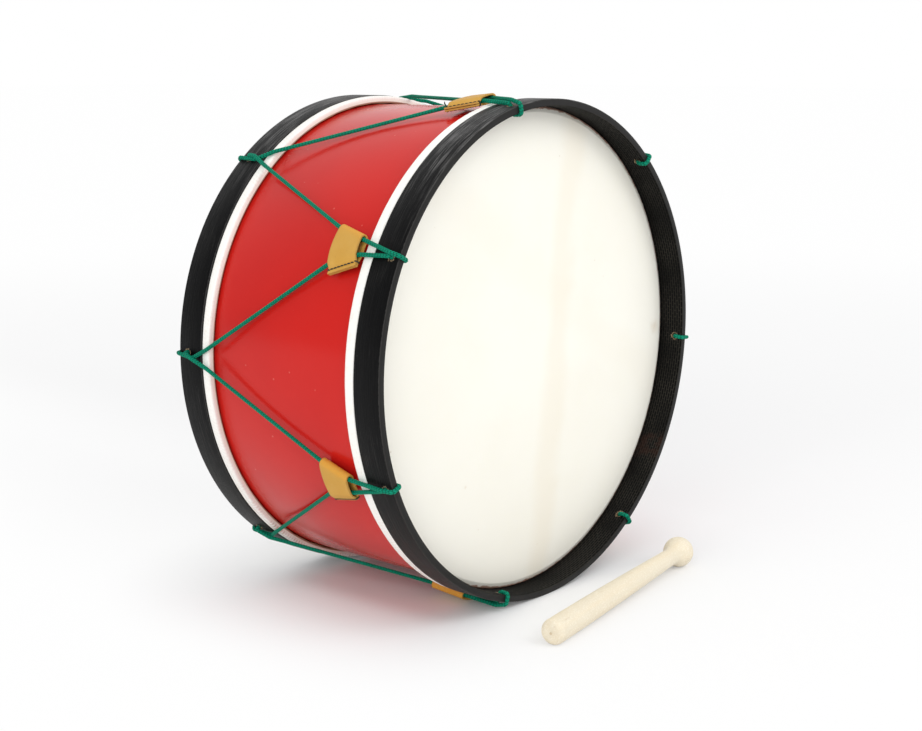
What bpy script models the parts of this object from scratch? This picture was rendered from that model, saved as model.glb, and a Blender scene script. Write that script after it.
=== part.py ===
"""Rope-tensioned tom-tom resting on its two hoops, with its beater lying in front of it.

Metres, +Z up. The drum's axis lies along Y and the batter head faces -Y. The origin is the
middle of the flat on the front hoop that the drum rests on. Angles round the drum start at
its top and grow towards +X. "Along" is the distance behind the front edge of the front hoop.
"""

import math

import bmesh
import bpy
from mathutils import Matrix, Vector

# Turned pieces
SEGMENTS = 56
CLEARANCE = 0.0003

# Drum and hoops
DRUM_LENGTH = 0.1864
HOOP_WIDTH = 0.022
HOOP_THICKNESS = 0.005
HOOP_EASE = 0.0004

# Rope holes in the hoops
EARS = 7
FIRST_FRONT_HOLE = math.radians(-9.65)
BACK_HOLE_TURN = math.radians(23.05)
HOLE_INSET = 0.0085
HOLE_RADIUS = 0.0024
DRILL_SIDES = 12

# Shell
SHELL_RADIUS = 0.1686
SHELL_WALL = 0.004
HEAD_RECESS = 0.0186
BEARING_EDGE_WIDTH = 0.0036
BEARING_EDGE_FALL = 0.0014
RING_WALL = 0.004
RING_WIDTH = 0.020
RING_INSET = 0.0012

# Skins, lapped round the flesh hoops
SKIN = 0.0007
FLESH_HOOP_WALL = 0.0044
FRONT_LAP_WIDTH = 0.0082
BACK_LAP_WIDTH = 0.0068

# Rope
ROPE_RADIUS = 0.0017
ROPE_GAP = 0.00035
ROPE_BEND = 0.0022
ROPE_SIDES_EXTRA = 2
EDGE_STRAND_OFFSET = 0.0040
LEAVING_OFFSET = 0.0046
ARRIVAL = 0.0075
DEPARTURE = 0.0125
HUMP = 0.35
KNOT_HOLE_INDEX = 1
KNOT_SIZE = 0.0031
KNOT_DEPTH = 0.0030
KNOT_INSET = 0.0102
KNOT_OPENING = 0.62
KNOT_POINTS = 26
KNOT_TAIL = ((1.55, 2.9), (2.1, 4.1))
ROPE_START_DEPTH = 0.0018
ROPE_TO_KNOT = 0.0048
FLAT_WRAP_HOLE_INDEX = 3

# Leather ears
EAR_LENGTH = 0.026
EAR_FALL = math.radians(7.5)
EAR_SETBACKS = (0.0, 0.004, 0.002, 0.005, 0.0, 0.003, 0.0)
MOUTH_BEND = 0.0010
LEATHER = 0.0013
NARROW_SPREAD = 0.005
WIDE_SPREAD = 0.0125
FLANGE = 0.006
FLANGE_DROP = 0.0010
STITCH_INSET = 0.0036
THREAD_RADIUS = 0.0004

# Beater
BEATER_LENGTH = 0.210
BALL_RADIUS = 0.0113
GRIP_RADIUS = 0.0089
GRIP_ROUNDING = 0.0049
GRIP_TAPER = 1.6
NECK_RADIUS = 0.0064
NECK_TO_BALL = 0.0223
NECK_FLARE = 0.0003
BALL_ANGLES = (48, 69, 90, 112, 134, 157)
BEATER_SEGMENTS = 20
BEATER_AHEAD = 0.0495
BEATER_ASIDE = 0.0215
BEATER_TURN = math.radians(8.0)


def clear_scene():
    """Removes every object of the startup scene."""
    for thing in list(bpy.data.objects):
        bpy.data.objects.remove(thing, do_unlink=True)


def finish(name, colour, roughness, metallic=0.0):
    """A Principled material of one colour."""
    made = bpy.data.materials.new(name)
    made.use_nodes = True
    shader = made.node_tree.nodes["Principled BSDF"]
    shader.inputs["Base Color"].default_value = (*colour, 1.0)
    shader.inputs["Roughness"].default_value = roughness
    shader.inputs["Metallic"].default_value = metallic
    return made


def add_object(name, data, material, parent):
    """Links a new object under its parent and gives it its material."""
    thing = bpy.data.objects.new(name, data)
    thing.parent = parent
    data.materials.append(material)
    bpy.context.scene.collection.objects.link(thing)
    return thing


def mesh_object(name, shape, material, parent, smooth=math.radians(30)):
    """Turns a closed bmesh into an object with outward faces and soft shading."""
    bmesh.ops.remove_doubles(shape, verts=shape.verts[:], dist=1e-6)
    bmesh.ops.recalc_face_normals(shape, faces=shape.faces[:])
    data = bpy.data.meshes.new(name)
    shape.to_mesh(data)
    shape.free()
    data.shade_smooth()
    data.set_sharp_from_angle(angle=smooth)
    return add_object(name, data, material, parent)


def outward(angle):
    """Unit vector from the axis towards an angle round the drum, in the drum's own frame."""
    return Vector((math.sin(angle), -math.cos(angle), 0.0))


def sideways(angle):
    """Unit vector towards growing angles, square to outward and to the axis."""
    return Vector((math.cos(angle), math.sin(angle), 0.0))


def spot(angle, aside, height, along):
    """A point given beside, above and along a line that is parallel to the drum's axis."""
    return outward(angle) * height + sideways(angle) * aside + Vector((0.0, 0.0, along))


def to_corner(radius, segments=SEGMENTS):
    """Corner radius of a regular outline whose flats lie at this radius."""
    return radius / math.cos(math.pi / segments)


def turned(name, outline, material, parent, segments=SEGMENTS):
    """A closed outline of (radius, along) points turned about the local Z axis."""
    shape = bmesh.new()
    start = math.pi / segments
    points = [
        shape.verts.new(spot(start, 0.0, to_corner(radius, segments), along)) for radius, along in outline
    ]
    edges = []
    for here, there in zip(points, points[1:] + points[:1]):
        if here.co.xy.length > 1e-9 or there.co.xy.length > 1e-9:
            edges.append(shape.edges.new((here, there)))
    bmesh.ops.spin(
        shape,
        geom=points + edges,
        cent=(0.0, 0.0, 0.0),
        axis=(0.0, 0.0, 1.0),
        angle=2 * math.pi,
        steps=segments,
    )
    return mesh_object(name, shape, material, parent)


def at_end(outline, front):
    """An outline made for the front of the drum, or its mirror image at the back."""
    if front:
        return outline
    return [(radius, DRUM_LENGTH - along) for radius, along in outline]


def rectangle(inner, outer, low, high):
    """The outline of a plain ring."""
    return [(inner, low), (outer, low), (outer, high), (inner, high)]


def collar_radius():
    """Inside of the skin where it lies round the shell."""
    return SHELL_RADIUS + CLEARANCE


def hoop_inside():
    """Inside of the black hoops, which slide over the skin's collar."""
    return collar_radius() + SKIN + HOOP_EASE


def hoop_outside():
    """Outside of the black hoops, out to their flats."""
    return hoop_inside() + HOOP_THICKNESS


def lap_radius():
    """Outside of the skin where it is lapped round a flesh hoop."""
    return collar_radius() + CLEARANCE + FLESH_HOOP_WALL + CLEARANCE + SKIN


def shell_edge():
    """How far the shell's bearing edge lies behind the hoop's free edge."""
    return HEAD_RECESS + SKIN + CLEARANCE


def lap_start():
    """Where the skin's lap begins, just behind the hoop."""
    return HOOP_WIDTH + CLEARANCE


def lap_width(front):
    """Width of the lapped skin that shows behind a hoop."""
    return FRONT_LAP_WIDTH if front else BACK_LAP_WIDTH


def lap_end(front):
    """Where the skin's lap ends."""
    return lap_start() + lap_width(front)


def make_shell(material, parent):
    """The open cylinder, its two bearing edges sloped outwards."""
    inner = SHELL_RADIUS - SHELL_WALL
    crown = SHELL_RADIUS - BEARING_EDGE_WIDTH
    front = [
        (inner, shell_edge()),
        (crown, shell_edge()),
        (SHELL_RADIUS, shell_edge() + BEARING_EDGE_FALL),
    ]
    turned("shell", front + at_end(front[::-1], False), material, parent)


def make_reinforcement_ring(name, front, material, parent):
    """The glued ring that stiffens the shell's end from inside."""
    outer = SHELL_RADIUS - SHELL_WALL - CLEARANCE
    low = shell_edge() + RING_INSET
    outline = rectangle(outer - RING_WALL, outer, low, low + RING_WIDTH)
    turned(name, at_end(outline, front), material, parent)


def make_flesh_hoop(name, front, material, parent):
    """The thin wooden ring that the skin is lapped round."""
    margin = SKIN + CLEARANCE
    inner = collar_radius() + CLEARANCE
    low = lap_start() + margin
    high = lap_end(front) - margin
    turned(name, at_end(rectangle(inner, inner + FLESH_HOOP_WALL, low, high), front), material, parent)


def make_head(name, front, material, parent):
    """The skin: a flat disc, a slope over the bearing edge, a collar and the lap."""
    under = shell_edge() - CLEARANCE
    crown = SHELL_RADIUS - BEARING_EDGE_WIDTH
    collar = collar_radius()
    lap = lap_radius()
    slope = math.atan2(BEARING_EDGE_FALL, BEARING_EDGE_WIDTH)
    start = lap_start()
    end = lap_end(front)
    tuck = collar + SKIN + CLEARANCE
    outline = [
        (0.0, under),
        (crown, under),
        (collar, under + BEARING_EDGE_FALL),
        (collar, start + SKIN),
        (lap - SKIN, start + SKIN),
        (lap - SKIN, end - SKIN),
        (tuck, end - SKIN),
        (tuck, end),
        (lap, end),
        (lap, start),
        (collar + SKIN, start),
        (collar + SKIN, under + BEARING_EDGE_FALL - SKIN * math.tan(slope)),
        (crown + SKIN * math.tan(slope / 2), under - SKIN),
        (0.0, under - SKIN),
    ]
    turned(name, at_end(outline, front), material, parent)


def front_hole(index):
    """Angle of a rope hole in the front hoop, which is also its ear's angle."""
    return FIRST_FRONT_HOLE + index * 2 * math.pi / EARS


def back_hole(index):
    """Angle of the hole in the back hoop between ear index and the next ear."""
    return front_hole(index) + BACK_HOLE_TURN


def make_counter_hoop(name, front, material, parent):
    """The pressed hoop with a hole for each turn of the rope."""
    outline = rectangle(hoop_inside(), hoop_outside(), 0.0, HOOP_WIDTH)
    hoop = turned(name, at_end(outline, front), material, parent)
    cutters = bmesh.new()
    along = HOLE_INSET if front else DRUM_LENGTH - HOLE_INSET
    for index in range(EARS):
        angle = front_hole(index) if front else back_hole(index)
        place = Matrix.Translation(spot(angle, 0.0, hoop_inside() + HOOP_THICKNESS / 2, along))
        turn = outward(angle).to_track_quat("Z", "Y").to_matrix().to_4x4()
        bmesh.ops.create_cone(
            cutters,
            cap_ends=True,
            segments=DRILL_SIDES,
            radius1=HOLE_RADIUS,
            radius2=HOLE_RADIUS,
            depth=3 * HOOP_THICKNESS,
            matrix=place @ turn,
        )
    drill = mesh_object(name + "_drill", cutters, material, parent)
    drill.hide_render = True
    drill.display_type = "WIRE"
    cut = hoop.modifiers.new("rope_holes", "BOOLEAN")
    cut.operation = "DIFFERENCE"
    cut.solver = "EXACT"
    cut.object = drill


def rope_height():
    """Height of the rope's middle where it lies on a hoop's outer face."""
    return to_corner(hoop_outside()) + ROPE_RADIUS + ROPE_GAP


def rope_depth():
    """Height of the rope's middle where it lies on a hoop's inner face."""
    return hoop_inside() - ROPE_RADIUS - ROPE_GAP


def ear_cavity():
    """Half the height of the space inside an ear."""
    return ROPE_RADIUS + CLEARANCE


def ear_place(index):
    """(height, along) of the rope's middle at an ear's narrow end.

    An ear that isn't set back has the thread round its end just behind the skin's lap.
    """
    overhang = (ear_cavity() + LEATHER) * math.sin(EAR_FALL)
    behind = CLEARANCE + stitch_reach() + THREAD_RADIUS + overhang + EAR_SETBACKS[index]
    return rope_height() - behind * math.tan(EAR_FALL), lap_end(True) + behind


def stitch_reach():
    """Distance of the thread's middle from the leather it goes round."""
    return THREAD_RADIUS + CLEARANCE


def ear_spread(along):
    """Sideways place of the strands at a distance from an ear's narrow end."""
    return NARROW_SPREAD + (WIDE_SPREAD - NARROW_SPREAD) * along / EAR_LENGTH


def ear_strand(index, side, wide):
    """Where a strand enters an ear's narrow end, or bends just outside its wide end."""
    height, along = ear_place(index)
    run = EAR_LENGTH + MOUTH_BEND if wide else 0.0
    height -= run * math.sin(EAR_FALL)
    along += run * math.cos(EAR_FALL)
    return spot(front_hole(index), side * ear_spread(run), height, along)


def front_turn(index):
    """Route past an ear, over the front hoop's edge, out through its hole and back to the ear."""
    angle = front_hole(index)
    high = rope_height()
    low = rope_depth()
    edge = -ROPE_RADIUS - ROPE_GAP
    beside = EDGE_STRAND_OFFSET
    return [
        (ear_strand(index, 1, True), 0.0),
        (ear_strand(index, 1, False), 0.0),
        (spot(angle, LEAVING_OFFSET, high, lap_start()), 0.0),
        (spot(angle, beside, high, edge), ROPE_BEND),
        (spot(angle, beside, low, edge), ROPE_BEND),
        (spot(angle, 0.0, low, HOLE_INSET), ROPE_BEND),
        (spot(angle, 0.0, high, HOLE_INSET), ROPE_BEND),
        (spot(angle, -LEAVING_OFFSET, high, lap_start()), 0.0),
        (ear_strand(index, -1, False), 0.0),
        (ear_strand(index, -1, True), 0.0),
    ]


def back_arrival(index):
    """Route from the ear on one side up to the inside of the back hoop.

    The rope goes in round the hoop's edge. At the hole beside the floor it goes in through the
    hole, so that no strand lies on another or on the hoop's footing.
    """
    angle = back_hole(index)
    high = rope_height()
    rim = DRUM_LENGTH - lap_end(False)
    hole = DRUM_LENGTH - HOLE_INSET
    edge = DRUM_LENGTH + ROPE_RADIUS + ROPE_GAP
    if index == FLAT_WRAP_HOLE_INDEX:
        return [
            (spot(angle, 0.0, high, rim), 0.0),
            (spot(angle, 0.0, high, hole), ROPE_BEND),
            (spot(angle, 0.0, rope_depth(), hole), ROPE_BEND),
        ]
    return [
        (spot(angle, ARRIVAL, high, rim), 0.0),
        (spot(angle, -EDGE_STRAND_OFFSET, high, hole), 0.0),
        (spot(angle, -EDGE_STRAND_OFFSET, high, edge), ROPE_BEND),
        (spot(angle, -EDGE_STRAND_OFFSET, rope_depth(), edge), ROPE_BEND),
    ]


def back_departure(index):
    """Route from the inside of the back hoop out towards the next ear.

    The rope comes out through the hole and crosses over the strand that arrived. At the hole
    beside the floor it comes out round the hoop's edge.
    """
    angle = back_hole(index)
    high = rope_height()
    rim = DRUM_LENGTH - lap_end(False)
    hole = DRUM_LENGTH - HOLE_INSET
    edge = DRUM_LENGTH + ROPE_RADIUS + ROPE_GAP
    leaving = (spot(angle, -DEPARTURE, high, rim), 0.0)
    if index == FLAT_WRAP_HOLE_INDEX:
        return [
            (spot(angle, -EDGE_STRAND_OFFSET, rope_depth(), edge), ROPE_BEND),
            (spot(angle, -EDGE_STRAND_OFFSET, high, edge), ROPE_BEND),
            leaving,
        ]
    over = high + 2 * ROPE_RADIUS + ROPE_GAP
    return [
        (spot(angle, 0.0, over, hole), ROPE_BEND),
        (spot(angle, -DEPARTURE * HUMP, over, hole - HUMP * (hole - rim)), 0.0),
        leaving,
    ]


def rounded(route):
    """Points of a route whose corners with a bend radius are rounded in steps of 45 degrees."""
    points = []
    for index, (corner, bend) in enumerate(route):
        if bend == 0.0 or index in (0, len(route) - 1):
            points.append(corner)
            continue
        before = (route[index - 1][0] - corner).normalized()
        after = (route[index + 1][0] - corner).normalized()
        turn = math.pi - before.angle(after)
        reach = bend * math.tan(turn / 2)
        centre = corner + (before + after).normalized() * (bend / math.cos(turn / 2))
        first = corner + before * reach - centre
        last = corner + after * reach - centre
        steps = max(1, round(turn / math.radians(45)))
        for step in range(steps + 1):
            points.append(centre + first.slerp(last, step / steps).normalized() * bend)
    return points


def tube(name, points, radius, material, parent, sides_extra, closed=False):
    """A round cord along a list of points."""
    data = bpy.data.curves.new(name, "CURVE")
    data.dimensions = "3D"
    data.bevel_depth = radius
    data.bevel_resolution = sides_extra
    data.use_fill_caps = not closed
    line = data.splines.new("POLY")
    line.points.add(len(points) - 1)
    line.use_cyclic_u = closed
    for place, point in zip(line.points, points):
        place.co = (*point, 1.0)
    return add_object(name, data, material, parent)


def make_rope(material, parent):
    """The one tension rope, all the way round the drum from the knot back to the knot."""
    angle = back_hole(KNOT_HOLE_INDEX)
    hole = DRUM_LENGTH - HOLE_INSET
    route = [(spot(angle, 0.0, hoop_inside() - ROPE_START_DEPTH, hole), 0.0)]
    route += back_departure(KNOT_HOLE_INDEX)
    for step in range(1, EARS):
        index = (KNOT_HOLE_INDEX - step) % EARS
        route += front_turn((index + 1) % EARS) + back_arrival(index)
        if index != FLAT_WRAP_HOLE_INDEX:
            route.append((spot(back_hole(index), 0.0, rope_depth(), hole), ROPE_BEND))
        route += back_departure(index)
    route += front_turn((KNOT_HOLE_INDEX + 1) % EARS) + back_arrival(KNOT_HOLE_INDEX)
    route.append((spot(angle, -EDGE_STRAND_OFFSET, rope_depth(), DRUM_LENGTH - ROPE_TO_KNOT), 0.0))
    tube("tension_rope", rounded(route), ROPE_RADIUS, material, parent, ROPE_SIDES_EXTRA)


def knot_spot(angle, across, along, rise):
    """A point of the knot, from its own middle, in knot sizes."""
    middle = rope_depth() - KNOT_DEPTH
    height = middle + rise * KNOT_DEPTH
    return spot(angle, across * KNOT_SIZE, height, DRUM_LENGTH - KNOT_INSET + along * KNOT_SIZE)


def make_knot(material, parent):
    """The overhand knot that ties the rope's ends inside the back hoop, with its two tails."""
    angle = back_hole(KNOT_HOLE_INDEX)
    first = math.pi + KNOT_OPENING
    sweep = 2 * math.pi - 2 * KNOT_OPENING
    points = [knot_spot(angle, across, along, 1.0) for across, along in reversed(KNOT_TAIL)]
    for step in range(KNOT_POINTS + 1):
        turn = first + sweep * step / KNOT_POINTS
        across = math.sin(turn) + 2 * math.sin(2 * turn)
        along = 2 * math.cos(2 * turn) - math.cos(turn)
        points.append(knot_spot(angle, across, along, -math.sin(3 * turn)))
    points += [knot_spot(angle, -across, along, -1.0) for across, along in KNOT_TAIL]
    tube("rope_knot", points, ROPE_RADIUS, material, parent, ROPE_SIDES_EXTRA)


def ear_section(spread):
    """Outer and inner corners of the folded leather round two strands, as (aside, up) pairs."""
    cavity = ear_cavity()
    fold = spread
    seam = -spread - cavity
    shut = seam - STITCH_INSET + 2 * LEATHER / 3
    tip = seam - FLANGE
    over = LEATHER - FLANGE_DROP
    under = -LEATHER - FLANGE_DROP
    outer = [(fold, cavity + LEATHER)]
    inner = [(fold, cavity)]
    corner = cavity / math.cos(math.radians(22.5))
    for degrees in (45, 0, -45):
        lean = math.radians(degrees)
        outer.append((fold + (corner + LEATHER) * math.cos(lean), (corner + LEATHER) * math.sin(lean)))
        inner.append((fold + corner * math.cos(lean), corner * math.sin(lean)))
    outer += [(fold, -cavity - LEATHER), (-spread, -cavity - LEATHER), (shut, under), (tip, under)]
    inner += [(fold, -cavity), (-spread - cavity / 2, -cavity), (shut, -FLANGE_DROP), (shut, -FLANGE_DROP)]
    outer += [(tip, over), (shut, over), (-spread, cavity + LEATHER)]
    inner += [(shut, -FLANGE_DROP), (shut, -FLANGE_DROP), (-spread - cavity / 2, cavity)]
    return outer, inner


def make_ear_shape():
    """The folded leather sleeve, narrow end at the origin and wide end at EAR_LENGTH along Y."""
    shape = bmesh.new()
    loops = []
    for spread, along in ((NARROW_SPREAD, 0.0), (WIDE_SPREAD, EAR_LENGTH)):
        for ring in ear_section(spread):
            loops.append([shape.verts.new((aside, along, up)) for aside, up in ring])
    narrow_outer, narrow_inner, wide_outer, wide_inner = loops
    pairs = (
        (narrow_outer, wide_outer),
        (wide_outer, wide_inner),
        (wide_inner, narrow_inner),
        (narrow_inner, narrow_outer),
    )
    for first, second in pairs:
        for index in range(len(first)):
            following = (index + 1) % len(first)
            shape.faces.new((first[index], first[following], second[following], second[index]))
    bmesh.ops.dissolve_degenerate(shape, edges=shape.edges[:], dist=1e-7)
    return shape


def ear_matrix(index):
    """Place of an ear on its two strands, in the drum's own frame."""
    angle = front_hole(index)
    height, along = ear_place(index)
    axis = Vector((0.0, 0.0, 1.0))
    back = axis * math.cos(EAR_FALL) - outward(angle) * math.sin(EAR_FALL)
    up = outward(angle) * math.cos(EAR_FALL) + axis * math.sin(EAR_FALL)
    turn = Matrix((sideways(angle), back, up)).transposed().to_4x4()
    return Matrix.Translation(spot(angle, 0.0, height, along)) @ turn


def seam_line(along):
    """Sideways place of the stitching at a distance from the ear's narrow end."""
    return -ear_spread(along) - ear_cavity() - STITCH_INSET


def make_ear(index, leather, thread, parent):
    """One leather ear and the thread that is sewn round its seam."""
    number = str(index + 1)
    place = ear_matrix(index)
    ear = mesh_object("leather_ear_" + number, make_ear_shape(), leather, parent)
    ear.matrix_local = place
    lift = LEATHER + stitch_reach()
    past = stitch_reach()
    loop = []
    for up, spots in ((lift, (-past, EAR_LENGTH + past)), (-lift, (EAR_LENGTH + past, -past))):
        loop += [Vector((seam_line(along), along, up - FLANGE_DROP)) for along in spots]
    stitch = tube("ear_stitch_" + number, loop, THREAD_RADIUS, thread, parent, 1, closed=True)
    stitch.matrix_local = place


def beater_radius(share):
    """Radius of the handle at a share of the way from its end to its neck."""
    return GRIP_RADIUS - (GRIP_RADIUS - NECK_RADIUS) * share**GRIP_TAPER


def beater_outline():
    """(radius, distance) points from the grip's end to the ball's end."""
    centre = BEATER_LENGTH - BALL_RADIUS
    neck = centre - NECK_TO_BALL
    outline = [(0.0, 0.0)]
    for degrees in (15, 45, 75):
        lean = math.radians(degrees)
        radius = GRIP_RADIUS - GRIP_ROUNDING * (1 - math.sin(lean))
        outline.append((radius, GRIP_ROUNDING * (1 - math.cos(lean))))
    steps = 5
    for step in range(1, steps + 1):
        share = step / steps
        outline.append((beater_radius(share), GRIP_ROUNDING + (neck - GRIP_ROUNDING) * share))
    shoulder = centre - BALL_RADIUS * math.cos(math.radians(BALL_ANGLES[0]))
    outline.append((NECK_RADIUS + NECK_FLARE, (neck + shoulder) / 2))
    for degrees in BALL_ANGLES:
        lean = math.radians(degrees)
        outline.append((BALL_RADIUS * math.sin(lean), centre - BALL_RADIUS * math.cos(lean)))
    outline.append((0.0, BEATER_LENGTH))
    return outline


def make_beater(material):
    """The turned wooden beater, lying on its ball and the end of its grip."""
    beater = turned("beater", beater_outline(), material, None, BEATER_SEGMENTS)
    reach = BEATER_LENGTH - BALL_RADIUS - GRIP_ROUNDING
    tilt = math.asin((BALL_RADIUS - GRIP_RADIUS) / reach)
    lay = Matrix.Rotation(BEATER_TURN, 4, "Z") @ Matrix.Rotation(math.pi / 2 - tilt, 4, "Y")
    centre = Vector((BEATER_ASIDE, -HOOP_WIDTH / 2 - BEATER_AHEAD, 0.0))
    start = lay @ Vector((0.0, 0.0, -BEATER_LENGTH / 2))
    beater.matrix_world = Matrix.Translation(centre + start) @ lay
    bpy.context.view_layer.update()
    lowest = min((beater.matrix_world @ vertex.co).z for vertex in beater.data.vertices)
    beater.location.z -= lowest


def main():
    """Builds the drum and its beater."""
    clear_scene()
    drum = bpy.data.objects.new("drum_axis", None)
    bpy.context.scene.collection.objects.link(drum)
    drum.location = (0.0, -HOOP_WIDTH / 2, hoop_outside())
    drum.rotation_euler = (-math.pi / 2, 0.0, 0.0)

    lacquer = finish("red_lacquer", (0.61, 0.03, 0.02), 0.28)
    black = finish("black_lacquer", (0.012, 0.012, 0.013), 0.4)
    skin = finish("drum_skin", (0.87, 0.85, 0.76), 0.55)
    raw_wood = finish("raw_wood", (0.55, 0.38, 0.2), 0.7)
    cord = finish("green_rope", (0.0, 0.2, 0.1), 0.7)
    leather = finish("tan_leather", (0.6, 0.34, 0.09), 0.6)
    thread = finish("black_thread", (0.01, 0.01, 0.01), 0.7)
    beech = finish("pale_wood", (0.8, 0.68, 0.48), 0.55)

    make_shell(lacquer, drum)
    for end, front in (("front", True), ("back", False)):
        make_reinforcement_ring("reinforcement_ring_" + end, front, raw_wood, drum)
        make_flesh_hoop("flesh_hoop_" + end, front, raw_wood, drum)
        make_counter_hoop("counter_hoop_" + end, front, black, drum)
    make_head("batter_head", True, skin, drum)
    make_head("back_head", False, skin, drum)
    make_rope(cord, drum)
    make_knot(cord, drum)
    for index in range(EARS):
        make_ear(index, leather, thread, drum)
    make_beater(beech)


main()
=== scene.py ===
"""Looks of a rope-tensioned tom-tom and its turned beater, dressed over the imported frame.

Metres, +Z up. The drum lies on its two hoops with its axis along Y, and the batter head faces
-Y. Angles round the drum start at its top and grow towards +X. "Along" is the distance behind
the front edge of the front hoop.
"""

import logging
import math
import random
from dataclasses import dataclass, field
from enum import Enum
from typing import Callable, Sequence

import bpy
import numpy as np
from mathutils import Matrix, Vector, noise


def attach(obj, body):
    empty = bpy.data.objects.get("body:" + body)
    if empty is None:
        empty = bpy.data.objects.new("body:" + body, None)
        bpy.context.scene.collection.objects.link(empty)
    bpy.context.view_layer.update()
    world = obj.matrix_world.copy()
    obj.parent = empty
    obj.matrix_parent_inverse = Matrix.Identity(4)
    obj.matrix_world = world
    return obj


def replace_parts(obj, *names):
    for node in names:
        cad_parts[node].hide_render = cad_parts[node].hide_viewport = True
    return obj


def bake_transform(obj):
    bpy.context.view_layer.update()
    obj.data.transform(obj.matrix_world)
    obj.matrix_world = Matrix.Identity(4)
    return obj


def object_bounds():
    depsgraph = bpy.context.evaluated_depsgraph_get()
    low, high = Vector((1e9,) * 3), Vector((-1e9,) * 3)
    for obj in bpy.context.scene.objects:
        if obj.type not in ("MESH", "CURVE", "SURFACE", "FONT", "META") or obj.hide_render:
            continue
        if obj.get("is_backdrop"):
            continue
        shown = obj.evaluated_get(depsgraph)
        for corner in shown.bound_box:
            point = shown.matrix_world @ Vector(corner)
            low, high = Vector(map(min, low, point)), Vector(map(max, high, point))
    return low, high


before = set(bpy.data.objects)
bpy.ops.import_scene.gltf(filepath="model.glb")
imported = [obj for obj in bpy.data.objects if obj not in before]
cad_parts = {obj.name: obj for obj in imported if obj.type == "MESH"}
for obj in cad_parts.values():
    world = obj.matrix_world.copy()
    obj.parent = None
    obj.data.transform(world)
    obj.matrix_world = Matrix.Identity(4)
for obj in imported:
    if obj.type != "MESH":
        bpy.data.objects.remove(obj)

LOG = logging.getLogger("tom_tom")
MM = 0.001
TURN = 2 * math.pi
UP = Vector((0.0, 0.0, 1.0))
BACKWARDS = Vector((0.0, 1.0, 0.0))
Object = bpy.types.Object
Colour = tuple[float, float, float]
Outline = list[tuple[float, float]]
Route = list[tuple[Vector, float]]
Runs = list[tuple[int, int]]


# Blender's tools, as by hand


def select_only(*pieces: Object) -> None:
    """Makes objects the only selected ones in object mode, and the first one active."""
    if bpy.context.object and bpy.context.object.mode != "OBJECT":
        bpy.ops.object.mode_set(mode="OBJECT")
    bpy.ops.object.select_all(action="DESELECT")
    for piece in pieces:
        piece.select_set(True)
        bpy.context.view_layer.objects.active = pieces[0]


def settle(piece: Object) -> Object:
    """Puts an object's place into its mesh, so that the object sits at the origin."""
    select_only(piece)
    bpy.ops.object.transform_apply(location=True, rotation=True, scale=True)
    return piece


def apply_all(piece: Object) -> None:
    """Applies every modifier of an object, in order."""
    select_only(piece)
    for modifier in list(piece.modifiers):
        bpy.ops.object.modifier_apply(modifier=modifier.name)


def smooth(piece: Object, degrees: float) -> None:
    """Shades an object smooth, with its edges sharp beyond an angle."""
    select_only(piece)
    bpy.ops.object.shade_smooth_by_angle(angle=math.radians(degrees))


def join(pieces: Sequence[Object], name: str) -> Object:
    """Joins objects into the first one, under a new name."""
    select_only(*pieces)
    bpy.ops.object.join()
    pieces[0].name = name
    pieces[0].data.name = name
    return pieces[0]


def link(name: str, data: bpy.types.ID) -> Object:
    """Puts an object with this data into the scene."""
    made = bpy.data.objects.new(name, data)
    bpy.context.scene.collection.objects.link(made)
    return made


def lathe(name: str, points: Sequence[Vector], centre: Vector, axis: Vector, steps: int) -> Object:
    """Pulls one vertex along an outline and turns the wire into a shape with outward faces.

    Args:
        name: Name of the new object.
        points: The outline, closed by repeating its first point or by ending on the axis.
        centre: A point of the axis.
        axis: Direction of the axis.
        steps: Number of steps in the full turn.

    Returns:
        The turned object, at the origin.
    """
    select_only()
    bpy.ops.mesh.primitive_plane_add(size=MM, location=points[0])
    piece = bpy.context.object
    piece.name = name
    piece.data.name = name
    bpy.ops.object.mode_set(mode="EDIT")
    bpy.ops.mesh.select_mode(type="VERT")
    bpy.ops.mesh.select_all(action="SELECT")
    bpy.ops.mesh.merge(type="CENTER")
    for here, there in zip(points, points[1:]):
        bpy.ops.mesh.extrude_region_move(TRANSFORM_OT_translate={"value": there - here})
    bpy.ops.mesh.select_all(action="SELECT")
    bpy.ops.mesh.spin(steps=steps, angle=TURN, center=centre, axis=axis)
    bpy.ops.mesh.select_all(action="SELECT")
    bpy.ops.mesh.remove_doubles(threshold=0.002 * MM)
    bpy.ops.mesh.normals_make_consistent(inside=False)
    bpy.ops.object.mode_set(mode="OBJECT")
    return settle(piece)


def eased(corners: Sequence[tuple[float, float, float]], steps: int) -> Outline:
    """An outline whose corners are rounded.

    Args:
        corners: (radius, along, rounding) of each corner, the ends left as they are.
        steps: Steps of each rounding.

    Returns:
        The (radius, along) points.
    """
    points: Outline = []
    for index, (radius, along, ease) in enumerate(corners):
        if ease == 0.0 or index in (0, len(corners) - 1):
            points.append((radius, along))
            continue
        corner = Vector((radius, along))
        before = (Vector(corners[index - 1][:2]) - corner).normalized()
        after = (Vector(corners[index + 1][:2]) - corner).normalized()
        half = before.angle(after) / 2
        centre = corner + (before + after).normalized() * (ease / math.sin(half))
        first = corner + before * (ease / math.tan(half)) - centre
        sweep = first.angle_signed(corner + after * (ease / math.tan(half)) - centre)
        for step in range(steps + 1):
            place = centre + Matrix.Rotation(-sweep * step / steps, 2) @ first
            points.append((place.x, place.y))
    return points


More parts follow.
